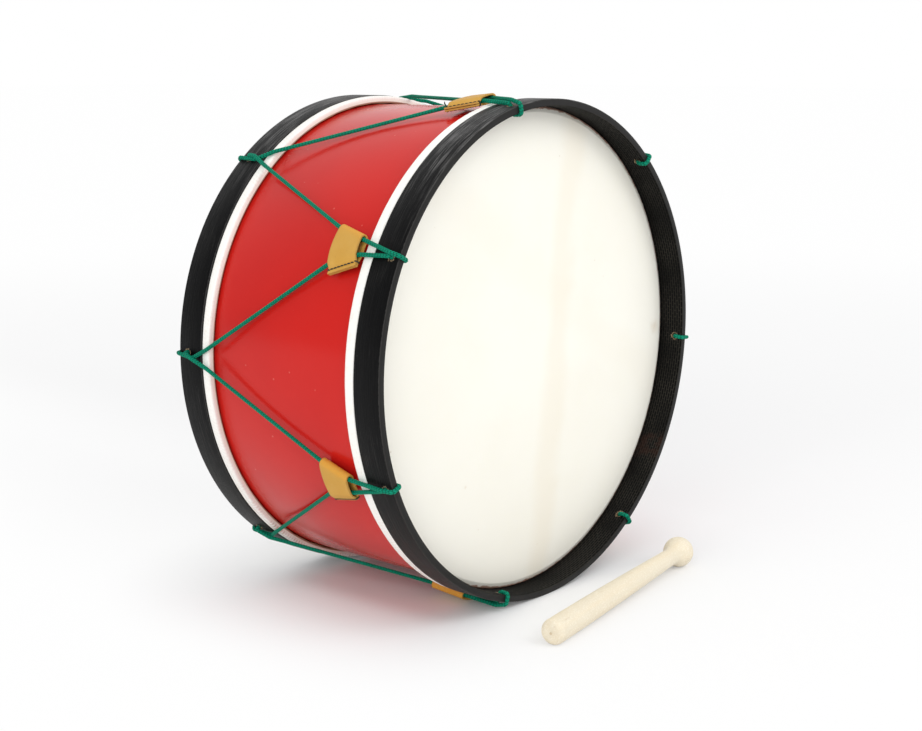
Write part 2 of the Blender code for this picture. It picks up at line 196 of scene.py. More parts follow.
def flowing(points: Outline, steps: int) -> Outline:
    """A smooth curve through the points of an outline, with steps between each two."""
    ends = [points[0], *points, points[-1]]
    finer: Outline = []
    for around in zip(ends, ends[1:], ends[2:], ends[3:]):
        for step in range(steps):
            share = step / steps
            weights = (
                -0.5 * share + share**2 - 0.5 * share**3,
                1 - 2.5 * share**2 + 1.5 * share**3,
                0.5 * share + 2 * share**2 - 1.5 * share**3,
                -0.5 * share**2 + 0.5 * share**3,
            )
            finer.append(tuple(sum(w * p[axis] for w, p in zip(weights, around)) for axis in (0, 1)))
    return finer + [points[-1]]


def limited(value: float) -> float:
    """A share kept between 0 and 1."""
    return min(max(value, 0.0), 1.0)


# Shaders


@dataclass(frozen=True)
class Signal:
    """A value in a node tree. Sums made with it add the nodes that work them out."""

    graph: "Graph"
    socket: bpy.types.NodeSocket

    def __add__(self, other: object) -> "Signal":
        """The sum."""
        return self.graph.maths("ADD", self, other)

    def __sub__(self, other: object) -> "Signal":
        """The difference."""
        return self.graph.maths("SUBTRACT", self, other)

    def __rsub__(self, other: object) -> "Signal":
        """The difference from a plain number."""
        return self.graph.maths("SUBTRACT", other, self)

    def __mul__(self, other: object) -> "Signal":
        """The product."""
        return self.graph.maths("MULTIPLY", self, other)

    def __truediv__(self, other: object) -> "Signal":
        """The quotient."""
        return self.graph.maths("DIVIDE", self, other)

    def __pow__(self, other: object) -> "Signal":
        """The power."""
        return self.graph.maths("POWER", self, other)

    def __abs__(self) -> "Signal":
        """The value without its sign."""
        return self.graph.maths("ABSOLUTE", self)

    def most(self, other: object) -> "Signal":
        """The larger of two."""
        return self.graph.maths("MAXIMUM", self, other)

    def least(self, other: object) -> "Signal":
        """The smaller of two."""
        return self.graph.maths("MINIMUM", self, other)

    def ramp(self, low: float, high: float, start: float = 0.0, end: float = 1.0) -> "Signal":
        """A smooth step from start at low to end at high."""
        step = self.graph.add("MapRange", self, low, high, start, end, interpolation_type="SMOOTHSTEP")
        return self.graph.out(step)


class Graph:
    """Short ways to add and join the nodes of one node tree."""

    def __init__(self, tree: bpy.types.NodeTree) -> None:
        """Keeps the tree that the nodes go into."""
        self.tree = tree

    def feed(self, socket: bpy.types.NodeSocket, value: object) -> None:
        """Joins a socket to a signal, or gives it a plain value."""
        if isinstance(value, Signal):
            self.tree.links.new(value.socket, socket)
        else:
            socket.default_value = value

    def feeds(self, node: bpy.types.Node, **inputs: object) -> bpy.types.Node:
        """Feeds inputs of a node by name."""
        for name, value in inputs.items():
            self.feed(node.inputs[name], value)
        return node

    def add(self, kind: str, *values: object, **settings: object) -> bpy.types.Node:
        """Adds a node, gives it its settings and feeds its first inputs."""
        node = self.tree.nodes.new("ShaderNode" + kind)
        for name, value in settings.items():
            setattr(node, name, value)
        for socket, value in zip(node.inputs, values):
            self.feed(socket, value)
        return node

    def out(self, node: bpy.types.Node, name: int | str = 0) -> Signal:
        """One output of a node."""
        return Signal(self, node.outputs[name])

    def maths(self, operation: str, *values: object) -> Signal:
        """A sum of up to three values."""
        return self.out(self.add("Math", *values, operation=operation))

    def measure(self, operation: str, *values: object) -> Signal:
        """A number from up to two vectors."""
        return self.out(self.add("VectorMath", *values, operation=operation), "Value")

    def parts(self, value: Signal) -> list[Signal]:
        """The three parts of a vector."""
        node = self.add("SeparateXYZ", value)
        return [Signal(self, socket) for socket in node.outputs]

    def whole(self, *values: object) -> Signal:
        """A vector from its three parts."""
        return self.out(self.add("CombineXYZ", *values))

    def noise(self, place: Signal, scale: object, detail: float = 3.0, rough: float = 0.5) -> Signal:
        """Cloudy noise between 0 and 1."""
        node = self.feeds(self.add("TexNoise"), Vector=place, Scale=scale, Detail=detail, Roughness=rough)
        return self.out(node, "Fac")

    def cells(self, place: Signal, scale: object) -> tuple[Signal, Signal]:
        """Distance from the nearest of scattered points, and that point's own colour."""
        node = self.feeds(self.add("TexVoronoi", feature="F1"), Vector=place, Scale=scale)
        return self.out(node, "Distance"), self.out(node, "Color")

    def layers(self, colour: object, *coats: tuple[Signal, object]) -> Signal:
        """A colour under coats, each a (share, colour)."""
        for share, coat in coats:
            node = self.add("Mix", share, data_type="RGBA")
            for socket, given in zip(node.inputs[6:8], (colour, coat)):
                self.feed(socket, given if isinstance(given, Signal) else (*given, 1.0))
            colour = self.out(node, 2)
        return colour


def shared(name: str, inputs: Sequence[str], outputs: Sequence[str]) -> Callable:
    """Makes an effect that several finishes use into a node group, which is built once.

    Args:
        name: Name of the group.
        inputs: Input names, a vector's with a leading star.
        outputs: Output names, a vector's with a leading star.

    Returns:
        What turns the function that fills the group into one that uses it in a graph.
    """

    def wrap(fill: Callable) -> Callable:
        """Takes the function that works out the outputs from the inputs."""

        def build() -> bpy.types.NodeTree:
            """Builds the group."""
            tree = bpy.data.node_groups.new(name, "ShaderNodeTree")
            for names, side in ((inputs, "INPUT"), (outputs, "OUTPUT")):
                for given in names:
                    kind = "NodeSocketVector" if given.startswith("*") else "NodeSocketFloat"
                    tree.interface.new_socket(given.lstrip("*"), in_out=side, socket_type=kind)
            graph = Graph(tree)
            source = tree.nodes.new("NodeGroupInput")
            results = fill(graph, *(graph.out(source, given.lstrip("*")) for given in inputs))
            for socket, value in zip(tree.nodes.new("NodeGroupOutput").inputs, results):
                graph.feed(socket, value)
            return tree

        def use(g: Graph, *values: object) -> Signal | list[Signal]:
            """Uses the group: one output alone, several as a list."""
            node = g.add("Group", *values, node_tree=bpy.data.node_groups.get(name) or build())
            found = [Signal(g, socket) for socket in node.outputs]
            return found if len(found) > 1 else found[0]

        return use

    return wrap


@shared("drum round", ["*Place"], ["*Ring", "Angle", "Along", "Radius"])
def drum_round(g: Graph, place: Signal) -> tuple:
    """Place round the drum: a seamless ring vector, angle, along and radius."""
    x, y, z = g.parts(place)
    up = z - Layout.axis_height
    radius = g.maths("SQRT", x * x + up * up)
    along = y - Layout.front
    return g.whole(up / radius, x / radius, along), g.maths("ARCTAN2", x, up), along, radius


@shared("fibre streaks", ["*Ring", "Per radian", "Per metre"], ["Streaks"])
def streaks(g: Graph, ring: Signal, per_radian: Signal, per_metre: Signal) -> tuple:
    """Fibres that run round the drum."""
    x, y, along = g.parts(ring)
    return (g.noise(g.whole(x * per_radian, y * per_radian, along * per_metre), 1.0, 4.0, 0.6),)


@shared("mottle", ["*Place", "Scale"], ["Mottle"])
def mottle(g: Graph, place: Signal, scale: Signal) -> tuple:
    """Soft patches between 0 and 1, with their contrast raised."""
    both = g.noise(place, 1.0, 4.0, 0.55) * 0.3 + g.noise(place, scale, 5.0) * 0.7
    return (both.ramp(0.34, 0.66),)


@shared("specks", ["*Place", "Per metre", "Size"], ["Specks"])
def specks(g: Graph, place: Signal, per_metre: Signal, size: Signal) -> tuple:
    """Small scattered dots, such as dust or pores."""
    distance, own = g.cells(place, per_metre)
    chance = g.parts(own)[0]
    return ((size * chance**6.0 - distance).ramp(0.0, 0.06),)


@shared("wood grain", ["*Place", "Scale"], ["Figure", "Pores"])
def wood_grain(g: Graph, place: Signal, scale: Signal) -> tuple:
    """Grain that runs along Z: long soft figure and short dark pores."""
    x, y, z = g.parts(place)
    figure = g.noise(g.whole(x, y, z * 0.06), scale, 6.0, 0.62)
    distance, own = g.cells(g.whole(x, y, z * 0.16), scale * 3.2)
    rare = g.parts(own)[0].ramp(0.55, 0.8)
    return figure.ramp(0.36, 0.66), distance.ramp(0.10, 0.32, 1.0, 0.0) * rare


@dataclass(frozen=True)
class Finish:
    """A finish: its slot in the record, its colours and the plain values of its shader."""

    name: str = "finish"
    slot: str = ""
    specular: float = 0.5
    bump: float = 0.3
    bump_depth: float = 0.0002

    def make(self) -> bpy.types.Material:
        """Finds the material, or builds it.

        Returns:
            The material, with its pattern drawn by draw().
        """
        known = bpy.data.materials.get(self.name)
        if known:
            return known
        made = bpy.data.materials.new(self.name)
        made.use_nodes = True
        g = Graph(made.node_tree)
        source = g.add("TexCoord")
        colour, rough, height = self.draw(g, g.out(source, "Object"), g.out(source, "UV"))
        bump = g.feeds(g.add("Bump"), Strength=self.bump, Distance=self.bump_depth, Height=height)
        shader = made.node_tree.nodes["Principled BSDF"]
        shader.inputs["Specular IOR Level"].default_value = self.specular
        g.feed(shader.inputs["Base Color"], colour)
        g.feed(shader.inputs["Roughness"], rough)
        g.feed(shader.inputs["Normal"], g.out(bump, "Normal"))
        return made

    def draw(self, g: Graph, place: Signal, uv: Signal) -> tuple:
        """Draws the pattern.

        Args:
            g: The material's graph.
            place: Object coordinates.
            uv: Coordinates of the UV map.

        Returns:
            Colour, roughness and height, each a signal.
        """
        raise NotImplementedError


@dataclass(frozen=True)
class RedLacquer(Finish):
    """Satin red lacquer sprayed on the shell."""

    name: str = "red lacquer"
    slot: str = "red_lacquer"
    colour: Colour = (0.60, 0.014, 0.010)
    deep: Colour = (0.53, 0.010, 0.008)
    nib: Colour = (0.75, 0.25, 0.2)
    specular: float = 0.24
    bump: float = 0.08

    def draw(self, g: Graph, place: Signal, uv: Signal) -> tuple:
        """Soft patches, dust nibs and a faint orange peel."""
        dust = specks(g, place, 160.0, 0.16)
        patches = mottle(g, place, 14.0)
        colour = g.layers(self.colour, (patches * 0.6, self.deep), (dust * 0.35, self.nib))
        return colour, g.noise(place, 30.0, 4.0) * 0.10 + 0.17, g.noise(place, 420.0, 2.0) + dust * 1.5


@dataclass(frozen=True)
class BlackHoop(Finish):
    """Black paint on bent hardboard, worn at its edges and torn round its rope holes."""

    name: str = "black hoop"
    slot: str = "black_lacquer"
    holes: tuple[tuple[float, float], ...] = ()
    edges: tuple[float, float] = (0.0, 0.022)
    colour: Colour = (0.0024, 0.0024, 0.0027)
    worn: Colour = (0.050, 0.048, 0.046)
    rust: Colour = (0.050, 0.018, 0.011)
    rust_angle: float = 2.15
    # Lighter grey-brown: painted highlight on the ridges of the inner face, and also the tone of the outer
    # face's low side.
    ridge_highlight_and_low_side_tone: Colour = (0.034, 0.031, 0.025)
    # Painted shade of the inner face between its ridges.
    inner_shade: Colour = (0.0006, 0.0006, 0.0006)
    # Painted highlight: the grey of the streaks on the top of the outer face.
    top_highlight: Colour = (0.155, 0.152, 0.150)
    wood: Colour = (0.42, 0.32, 0.20)
    dark_wood: Colour = (0.20, 0.13, 0.07)
    specular: float = 0.11
    bump: float = 0.75
    bump_depth: float = 0.00030
    row: float = 0.0020
    cell: float = 0.0052

    def draw(self, g: Graph, place: Signal, uv: Signal) -> tuple:
        """Fibre streaks, worn edges, a painted highlight on the top, the screen-backed inner face with
        painted shade between its ridges and a painted highlight on them, and frayed holes.
        """
        ring, angle, along, radius = drum_round(g, place)
        height_share = g.maths("COSINE", angle)
        fine = streaks(g, ring, 9.0, 1500.0)
        broad = streaks(g, ring, 4.0, 260.0)
        inner = radius.ramp(Layout.hoop_inside + 0.0002, Layout.hoop_inside + 0.0008, 1.0, 0.0)
        outer = radius.ramp(Layout.hoop_outside - 0.0009, Layout.hoop_outside - 0.0003)
        low, high = self.edges
        near = (along - low).least(high - along)
        ragged = g.noise(place, 900.0, 4.0)
        lip = (near - (ragged * 0.0016 - 0.0005)).ramp(0.0, 0.0005, 1.0, 0.0)
        rub = fine.ramp(0.50, 0.72) * mottle(g, place, 22.0).ramp(0.25, 0.8) * 0.5
        worn = rub.most(lip * (outer + inner) * 0.7)
        worn = worn.most(near.ramp(0.0001, 0.0006, 1.0, 0.0) * 0.36)
        worn = worn.most(specks(g, place, 420.0, 0.2) * 0.5)
        # Painted highlight: lighter streaks on the top of the outer face, where the light falls on the
        # glossy paint.
        highlight_streaks = fine.ramp(0.42, 0.66) * broad.ramp(0.35, 0.6)
        lit_top = height_share.ramp(0.55, 0.95) * outer
        # Lighter and browner towards the bottom of the outer face.
        low_side = height_share.ramp(-0.9, -0.2, 0.35, 0.0) * outer
        web = self.screen_web(g, angle, along)
        # Patches where the painted highlight on the ridges shows.
        highlight_patches = g.noise(place, 30.0, 3.0).ramp(0.35, 0.65, 0.35, 1.0) * inner
        off = abs(angle - self.rust_angle)
        rubbed = off.ramp(0.03, 0.08, 1.0, 0.0) * g.noise(place, 160.0, 3.0).ramp(0.35, 0.6)
        fray = self.frayed(g, ring, along, ragged)
        colour = g.layers(
            self.colour,
            (worn, self.worn),
            (highlight_streaks * lit_top, self.top_highlight),
            (low_side, self.ridge_highlight_and_low_side_tone),
            # Painted shade: the inner face takes a near-black colour between the ridges of its screen
            # pattern.
            (inner, self.inner_shade),
            # Painted highlight: the web of ridges is coloured lighter, in patches.
            (web * highlight_patches, self.ridge_highlight_and_low_side_tone),
            (rubbed * inner * 0.32, self.rust),
            (fray, g.layers(self.wood, (g.noise(place, 2600.0, 2.0), self.dark_wood))),
        )
        rough = fine * 0.28 + 0.30 + (fray + inner) * 0.25
        return colour, rough, fine + broad * 0.8 + inner * (web * 1.6) + fray * 0.8

    def screen_web(self, g: Graph, angle: Signal, along: Signal) -> Signal:
        """The web between the dimples of the mesh that the hardboard was pressed on.

        Args:
            g: The material's graph.
            angle: Angle round the drum.
            along: Distance behind the front edge.

        Returns:
            A mask of the web. The dimples are set like bricks.
        """
        rows = along / self.row
        odd = g.maths("MODULO", g.maths("FLOOR", rows), 2.0)
        across = odd * 0.5 + angle * (Layout.hoop_inside / self.cell)
        beside = abs(g.maths("FRACT", across) - 0.5)
        behind = abs(g.maths("FRACT", rows) - 0.5)
        return behind.ramp(0.27, 0.43).most(beside.ramp(0.39, 0.47, 0.0, 0.7))

    def frayed(self, g: Graph, ring: Signal, along: Signal, ragged: Signal) -> Signal:
        """Where the paint is torn off round the rope holes.

        Args:
            g: The material's graph.
            ring: Seamless place round the drum.
            along: Distance behind the front edge.
            ragged: Noise that breaks up the torn edge.

        Returns:
            A mask.
        """
        up, aside, _ = g.parts(ring)
        wide = Layout.hoop_outside
        here = g.whole(up * wide, aside * wide, along)
        distance: object = 1.0
        for angle, hole in self.holes:
            spot = (wide * math.cos(angle), wide * math.sin(angle), hole)
            distance = g.measure("DISTANCE", here, spot).least(distance)
        return (distance - (ragged * 0.0042 - 0.0018)).ramp(0.0022, 0.0028, 1.0, 0.0)


@dataclass(frozen=True)
class DrumSkin(Finish):
    """Calfskin of the batter head: creamy white with faint bands, specks and a browned rim.

    bands are ((x, z) of a point, (x, z) of another, half width, strength) on the face, and stains
    are ((x, z), size, strength).
    """

    name: str = "batter skin"
    slot: str = "drum_skin"
    colour: Colour = (0.915, 0.897, 0.815)
    cloud: Colour = (0.870, 0.845, 0.745)
    grain: Colour = (0.90, 0.88, 0.82)
    band: Colour = (0.80, 0.70, 0.53)
    stain: Colour = (0.62, 0.50, 0.34)
    speck: Colour = (0.55, 0.44, 0.30)
    brown: Colour = (0.36, 0.17, 0.11)
    # Painted light: the lap is coloured brighter than the face to make up for the shade it gets tucked
    # against the hoop.
    lap: Colour = (0.965, 0.955, 0.915)
    tint: Colour = (0.82, 0.75, 0.62)
    # Painted shade in the creases of the lap's pleats.
    crease_shade: Colour = (0.58, 0.42, 0.31)
    bands: tuple = (
        ((0.0506, 0.3267), (0.0145, 0.018), 0.016, 0.24),
        ((-0.09, 0.29), (0.02, 0.22), 0.02, 0.08),
    )
    stains: tuple = (((0.1590, 0.172), 0.007, 0.38), ((-0.07, 0.09), 0.002, 0.35))
    gathers: float = 400.0
    slant: float = 900.0
    gathered: float = 0.25
    bump: float = 0.10
    bump_depth: float = 0.0003

    def draw(self, g: Graph, place: Signal, uv: Signal) -> tuple:
        """Clouds, fibres, bands, stains and specks, the ragged brown line at the rim, the lap brightened as
        painted light, and painted shade in the creases of its pleats.
        """
        ring, angle, along, radius = drum_round(g, place)
        x, _, z = g.parts(place)
        grain = mottle(g, place, 160.0)
        coats = [(mottle(g, place, 9.0) * 0.7, self.cloud), (grain * 0.25, self.grain)]
        wavy = g.noise(place, 18.0) * 0.03 - 0.015
        for (x0, z0), (x1, z1), half, strength in self.bands:
            run = Vector((x1 - x0, z1 - z0)).normalized()
            off = abs((x - x0) * run.y + (z - z0) * -run.x + wavy)
            coats.append((off.ramp(half * 0.2, half * 1.2, 1.0, 0.0) * strength, self.band))
        for (x0, z0), size, strength in self.stains:
            off = g.measure("DISTANCE", g.whole(x, 0.0, z), (x0, 0.0, z0))
            off = g.noise(place, 240.0, 4.0) * size + off
            coats.append((off.ramp(size * 0.4, size * 1.6, 1.0, 0.0) * strength, self.stain))
        ragged = radius + (g.noise(place, 190.0, 5.0) * 0.0040 - 0.0020)
        rim = ragged.ramp(0.1676, 0.1686) * radius.ramp(0.1704, 0.1708, 1.0, 0.0)
        lapped = radius.ramp(0.1716, 0.1726)
        threads = streaks(g, ring, 40.0, 420.0)
        slant = g.noise(place, 40.0, 2.0) * 9.0 + (along * self.slant + angle * self.gathers)
        # The pleats, and the painted shade in their creases, grow stronger towards the bottom.
        low_side = g.maths("COSINE", angle).ramp(-0.80, -0.42, 1.0, 0.10)
        fold = g.maths("SINE", slant).ramp(-0.1, 0.9) * low_side
        fold = fold * g.noise(place, 60.0, 2.0).ramp(0.35, 0.6) * lapped
        coats += [
            (specks(g, place, 90.0, 0.10) * 0.35, self.speck),
            (rim * 0.9, self.brown),
            # Painted light: the lap is brightened against the shade beside the hoop.
            (lapped * 0.9, self.lap),
            (lapped * threads.ramp(0.5, 0.75) * 0.35, self.tint),
            # Painted shade in the creases of the pleats.
            (fold * self.gathered, self.crease_shade),
        ]
        height = g.noise(place, 55.0, 4.0) + grain * 0.25
        height = height - fold * (self.gathered * 1.6) + threads * lapped
        return g.layers(self.colour, *coats), grain * 0.12 + 0.42, height


@dataclass(frozen=True)
class BackSkin(DrumSkin):
    """The back head's skin, with marks of its own and a more gathered lap."""

    name: str = "back skin"
    bands: tuple = (
        ((0.030, 0.02), (0.055, 0.33), 0.011, 0.4),
        ((-0.09, 0.05), (-0.06, 0.30), 0.006, 0.25),
    )
    stains: tuple = (((-0.062, 0.262), 0.005, 0.35), ((0.085, 0.094), 0.008, 0.3))
    slant: float = -900.0
    # Deeper pleats, with stronger painted shade in their creases.
    gathered: float = 0.85


@dataclass(frozen=True)
class Leather(Finish):
    """Vegetable-tanned leather, its grain side out, lighter and more orange along the fold."""

    name: str = "tan leather"
    slot: str = "tan_leather"
    specular: float = 0.25
    colour: Colour = (0.605, 0.328, 0.054)
    pale: Colour = (0.640, 0.368, 0.077)
    fold: Colour = (0.74, 0.34, 0.040)
    edge: Colour = (0.42, 0.22, 0.06)
    pore: Colour = (0.35, 0.17, 0.04)
    bump: float = 0.45
    bump_depth: float = 0.00012

    def draw(self, g: Graph, place: Signal, uv: Signal) -> tuple:
        """Pebbled grain, cloudy colour, a bright fold and darkened edges."""
        u, v, _ = g.parts(uv)
        pebbles, _ = g.cells(place, 1500.0)
        creases = g.noise(place, 700.0, 5.0, 0.6)
        aside = abs(u - 0.5)
        fold = aside.ramp(0.04, 0.14, 1.0, 0.0) * creases.ramp(0.3, 0.6, 0.6, 1.0)
        edge = abs(v - 0.5).ramp(0.46, 0.5).most(aside.ramp(0.485, 0.5))
        colour = g.layers(
            self.colour,
            (mottle(g, place, 70.0) * 0.7, self.pale),
            (fold * 0.75, self.fold),
            (edge * 0.45, self.edge),
            (specks(g, place, 900.0, 0.3) * 0.4, self.pore),
        )
        return colour, creases * 0.2 + 0.48, pebbles + creases * 0.8


@dataclass(frozen=True)
class CutLeatherWithPaintedShade(Finish):
    """The raw cut edge and the flesh side of the leather, fibrous and matt, coloured darker than the raw
    leather alone as painted shade inside the ear.
    """

    name: str = "cut leather with painted shade"
    slot: str = "tan_leather"
    # Partly the raw leather's own colour, partly painted shade in the ear's mouth.
    colour: Colour = (0.44, 0.25, 0.085)
    fibre: Colour = (0.22, 0.11, 0.035)
    bump: float = 0.7
    bump_depth: float = 0.00025

    def draw(self, g: Graph, place: Signal, uv: Signal) -> tuple:
        """Loose fibres, lighter and darker."""
        fibres = g.noise(place, 1800.0, 6.0, 0.7)
        share = mottle(g, place, 180.0) * 0.35 + fibres.ramp(0.4, 0.7, 0.0, 0.65)
        return g.layers(self.colour, (share, self.fibre)), fibres * 0.1 + 0.82, fibres


@dataclass(frozen=True)
class BraidedRope(Finish):
    """Green braided cord. Its UV map counts braid columns round it and stitches along it."""

    name: str = "green rope"
    slot: str = "green_rope"
    colour: Colour = (0.0006, 0.262, 0.150)
    # Painted highlight on the crowns of the stitches.
    light: Colour = (0.0012, 0.410, 0.255)
    # Painted shade in the valleys between the stitches, and also the tone of random darker patches.
    dark: Colour = (0.0002, 0.060, 0.036)
    specular: float = 0.12
    lean: float = 0.25
    bump: float = 0.7
    bump_depth: float = 0.00020

    def draw(self, g: Graph, place: Signal, uv: Signal) -> tuple:
        """Chevron stitches with painted shade in their valleys and a painted highlight on their crowns, and
        filaments that run with each stitch.
        """
        u, v, _ = g.parts(uv)
        column = g.maths("FLOOR", u)
        cell = g.maths("FRACT", u) * 2.0 - 1.0
        odd = g.maths("MODULO", column, 2.0) * -2.0 + 1.0
        phase = cell * odd * self.lean + v
        beat = abs(g.maths("COSINE", phase * math.pi))
        crown = (1.0 - abs(cell) ** 3.0) * beat**0.6
        filaments = g.noise(g.whole(phase * 9.0, u * 0.6, column), 2.2, 3.0, 0.6)
        # Painted highlight on the crowns of the stitches.
        highlight_mask = crown.ramp(0.6, 1.0) * filaments.ramp(0.40, 0.60)
        # Painted shade: the valleys keep the dark colour and the crowns are lifted out of it.
        colour = g.layers(
            self.dark,
            (crown.ramp(0.05, 0.75), self.colour),
            (highlight_mask * 0.7, self.light),
            (mottle(g, place, 90.0) * 0.2, self.dark),
        )
        return colour, filaments * 0.2 + 0.52, filaments * 0.35 + crown


@dataclass(frozen=True)
class Thread(Finish):
    """Black waxed thread."""

    name: str = "black thread"
    slot: str = "black_thread"
    colour: Colour = (0.012, 0.011, 0.011)
    wax: Colour = (0.05, 0.045, 0.04)
    bump: float = 0.6
    bump_depth: float = 0.0001

    def draw(self, g: Graph, place: Signal, uv: Signal) -> tuple:
        """Twisted plies with a little wax."""
        plies = g.noise(place, 2400.0, 3.0, 0.6)
        wax = g.noise(place, 600.0, 2.0).ramp(0.5, 0.8)
        return g.layers(self.colour, (wax * 0.5, self.wax)), plies * 0.3 + 0.45, plies


@dataclass(frozen=True)
class Wood(Finish):
    """Bare wood whose grain runs along its own Z, turned to lie in the piece.

    turn and centre place the grain: the finish reads Object coordinates through a Mapping node.
    """

    name: str = "pale wood"
    slot: str = "pale_wood"
    colour: Colour = (0.795, 0.715, 0.557)
    figure: Colour = (0.825, 0.715, 0.520)
    fleck: Colour = (0.93, 0.87, 0.74)
    pore: Colour = (0.58, 0.44, 0.27)
    mark: Colour = (0.60, 0.47, 0.30)
    scale: float = 130.0
    turn: tuple[float, float, float] = (0.0, 0.0, 0.0)
    centre: tuple[float, float, float] = (0.0, 0.0, 0.0)
    mark_radius: float = 0.0
    bump: float = 0.25
    bump_depth: float = 0.00015

    def draw(self, g: Graph, place: Signal, uv: Signal) -> tuple:
        """Soft figure, dark pores, handling grime and the lathe's centre mark."""
        mapping = g.add("Mapping", vector_type="TEXTURE")
        place = g.out(g.feeds(mapping, Vector=place, Location=self.centre, Rotation=self.turn))
        figure, pores = wood_grain(g, place, self.scale)
        coats = [
            (g.noise(place, 900.0).ramp(0.50, 0.66) * 0.50, self.fleck),
            (pores * 0.30, self.pore),
            (mottle(g, place, 45.0) * 0.08, self.pore),
        ]
        if self.mark_radius:
            x, y, z = g.parts(place)
            off = g.measure("LENGTH", g.whole(x, y, z * 0.5))
            coats.append((off.ramp(self.mark_radius * 0.7, self.mark_radius, 0.8, 0.0), self.mark))
        colour = g.layers(self.colour, (figure * 0.6, self.figure), *coats)
        return colour, figure * 0.12 + 0.46, figure - pores * 1.4


@dataclass(frozen=True)
class RingWood(Wood):
    """Unfinished wood bent round inside the drum, its grain running round it."""

    name: str = "raw wood"
    slot: str = "raw_wood"
    colour: Colour = (0.60, 0.42, 0.23)
    figure: Colour = (0.45, 0.29, 0.14)
    pore: Colour = (0.25, 0.14, 0.06)

    def draw(self, g: Graph, place: Signal, uv: Signal) -> tuple:
        """Grain streaks that follow the ring."""
        ring, _, _, radius = drum_round(g, place)
        broad = streaks(g, ring, 5.0, 520.0)
        fine = streaks(g, ring, 22.0, 2600.0)
        plies = g.noise(g.whole(radius, 0.0, 0.0), 900.0, 1.0)
        colour = g.layers(
            self.colour,
            (broad.ramp(0.35, 0.68), self.figure),
            (fine.ramp(0.60, 0.78, 0.0, 0.5), self.pore),
            (plies.ramp(0.5, 0.6, 0.0, 0.25), self.figure),
        )
        return colour, fine * 0.15 + 0.62, fine + broad


# Where things lie


class End(Enum):
    """Which end of the drum a piece belongs to."""

    FRONT = "front"
    BACK = "back"

    @property
    def is_front(self) -> bool:
        """Whether this is the batter end."""
        return self is End.FRONT


class Layout:
    """Where the drum's pieces lie, in the frame's own measures."""

    axis_height = 0.175
    front = -0.011
    length = 0.1864
    hoop_width = 0.022
    hoop_inside = 0.170
    hoop_outside = 0.175
    hoop_sides = 56
    ears = 7
    first_front_hole = math.radians(-9.65)
    turns = {End.FRONT: 0.0, End.BACK: math.radians(23.05)}
    hole_places = {End.FRONT: 0.0068, End.BACK: length - 0.0085}
    hole_radius = 0.0024
    hole_drifts = {
        End.FRONT: (-2.8, 0.0, 0.3, 0.0, 0.0, 0.6, -1.2),
        End.BACK: (0.0, 0.0, 0.0, 0.0, 1.3, 0.8, -2.5),
    }
    shell_edge = 0.0196
    lap_start = 0.0223
    lap_ends = {End.FRONT: 0.0305, End.BACK: 0.0291}

    @staticmethod
    def outward(angle: float) -> Vector:
        """Unit vector from the axis towards an angle round the drum."""
        return Vector((math.sin(angle), 0.0, math.cos(angle)))

    @staticmethod
    def sideways(angle: float) -> Vector:
        """Unit vector towards growing angles."""
        return Vector((math.cos(angle), 0.0, -math.sin(angle)))

    @classmethod
    def spot(cls, angle: float, aside: float, height: float, along: float) -> Vector:
        """A point beside, above and along a line that is parallel to the drum's axis."""
        middle = Vector((0.0, cls.front + along, cls.axis_height))
        return middle + cls.outward(angle) * height + cls.sideways(angle) * aside

    @classmethod
    def ear_angle(cls, index: int) -> float:
        """Angle of an ear round the drum."""
        return cls.first_front_hole + index * TURN / cls.ears

    @classmethod
    def hole(cls, end: End, index: int) -> tuple[float, float]:
        """(angle, along) of a rope hole, drilled by eye: at an ear in front, past it at the back."""
        drift = math.radians(cls.hole_drifts[end][index])
        return cls.ear_angle(index) + cls.turns[end] + drift, cls.hole_places[end]

    @classmethod
    def turned(cls, name: str, end: End, outline: Outline, steps: int) -> Object:
        """Turns an outline about the drum's axis.

        Args:
            name: Name of the new object.
            end: Which end it is for; the back end gets its mirror image.
            outline: (radius, along) of each point, as at the front end.
            steps: Number of steps in the full turn.

        Returns:
            The turned object.
        """
        if not end.is_front:
            outline = [(radius, cls.length - along) for radius, along in outline]
        points = [cls.spot(0.0, 0.0, radius, along) for radius, along in outline]
        return lathe(name, points, UP * cls.axis_height, BACKWARDS, steps)


# Pieces


@dataclass
class Piecework:
    """What every sub-assembly does with a finished piece."""

    body: str = "drum"

    def dress(self, piece: Object, *finishes: Finish) -> Object:
        """Gives a piece its finishes, one for each material index."""
        piece.data.materials.clear()
        for finish in finishes:
            piece.data.materials.append(finish.make())
        return piece

    def report(self, piece: Object) -> None:
        """Logs a piece's name and number of faces."""
        LOG.info("%s: %d faces", piece.name, len(piece.data.polygons))

    def hand_in(self, piece: Object, body: str, node: str, *finishes: Finish) -> None:
        """Dresses a piece that moves with one body and takes the place of a node of the frame.

        Args:
            piece: The piece.
            body: The body that it moves with.
            node: The node that it replaces.
            finishes: One for each of its material indices.
        """
        self.dress(piece, *finishes)
        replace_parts(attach(piece, body), node)
        self.report(piece)


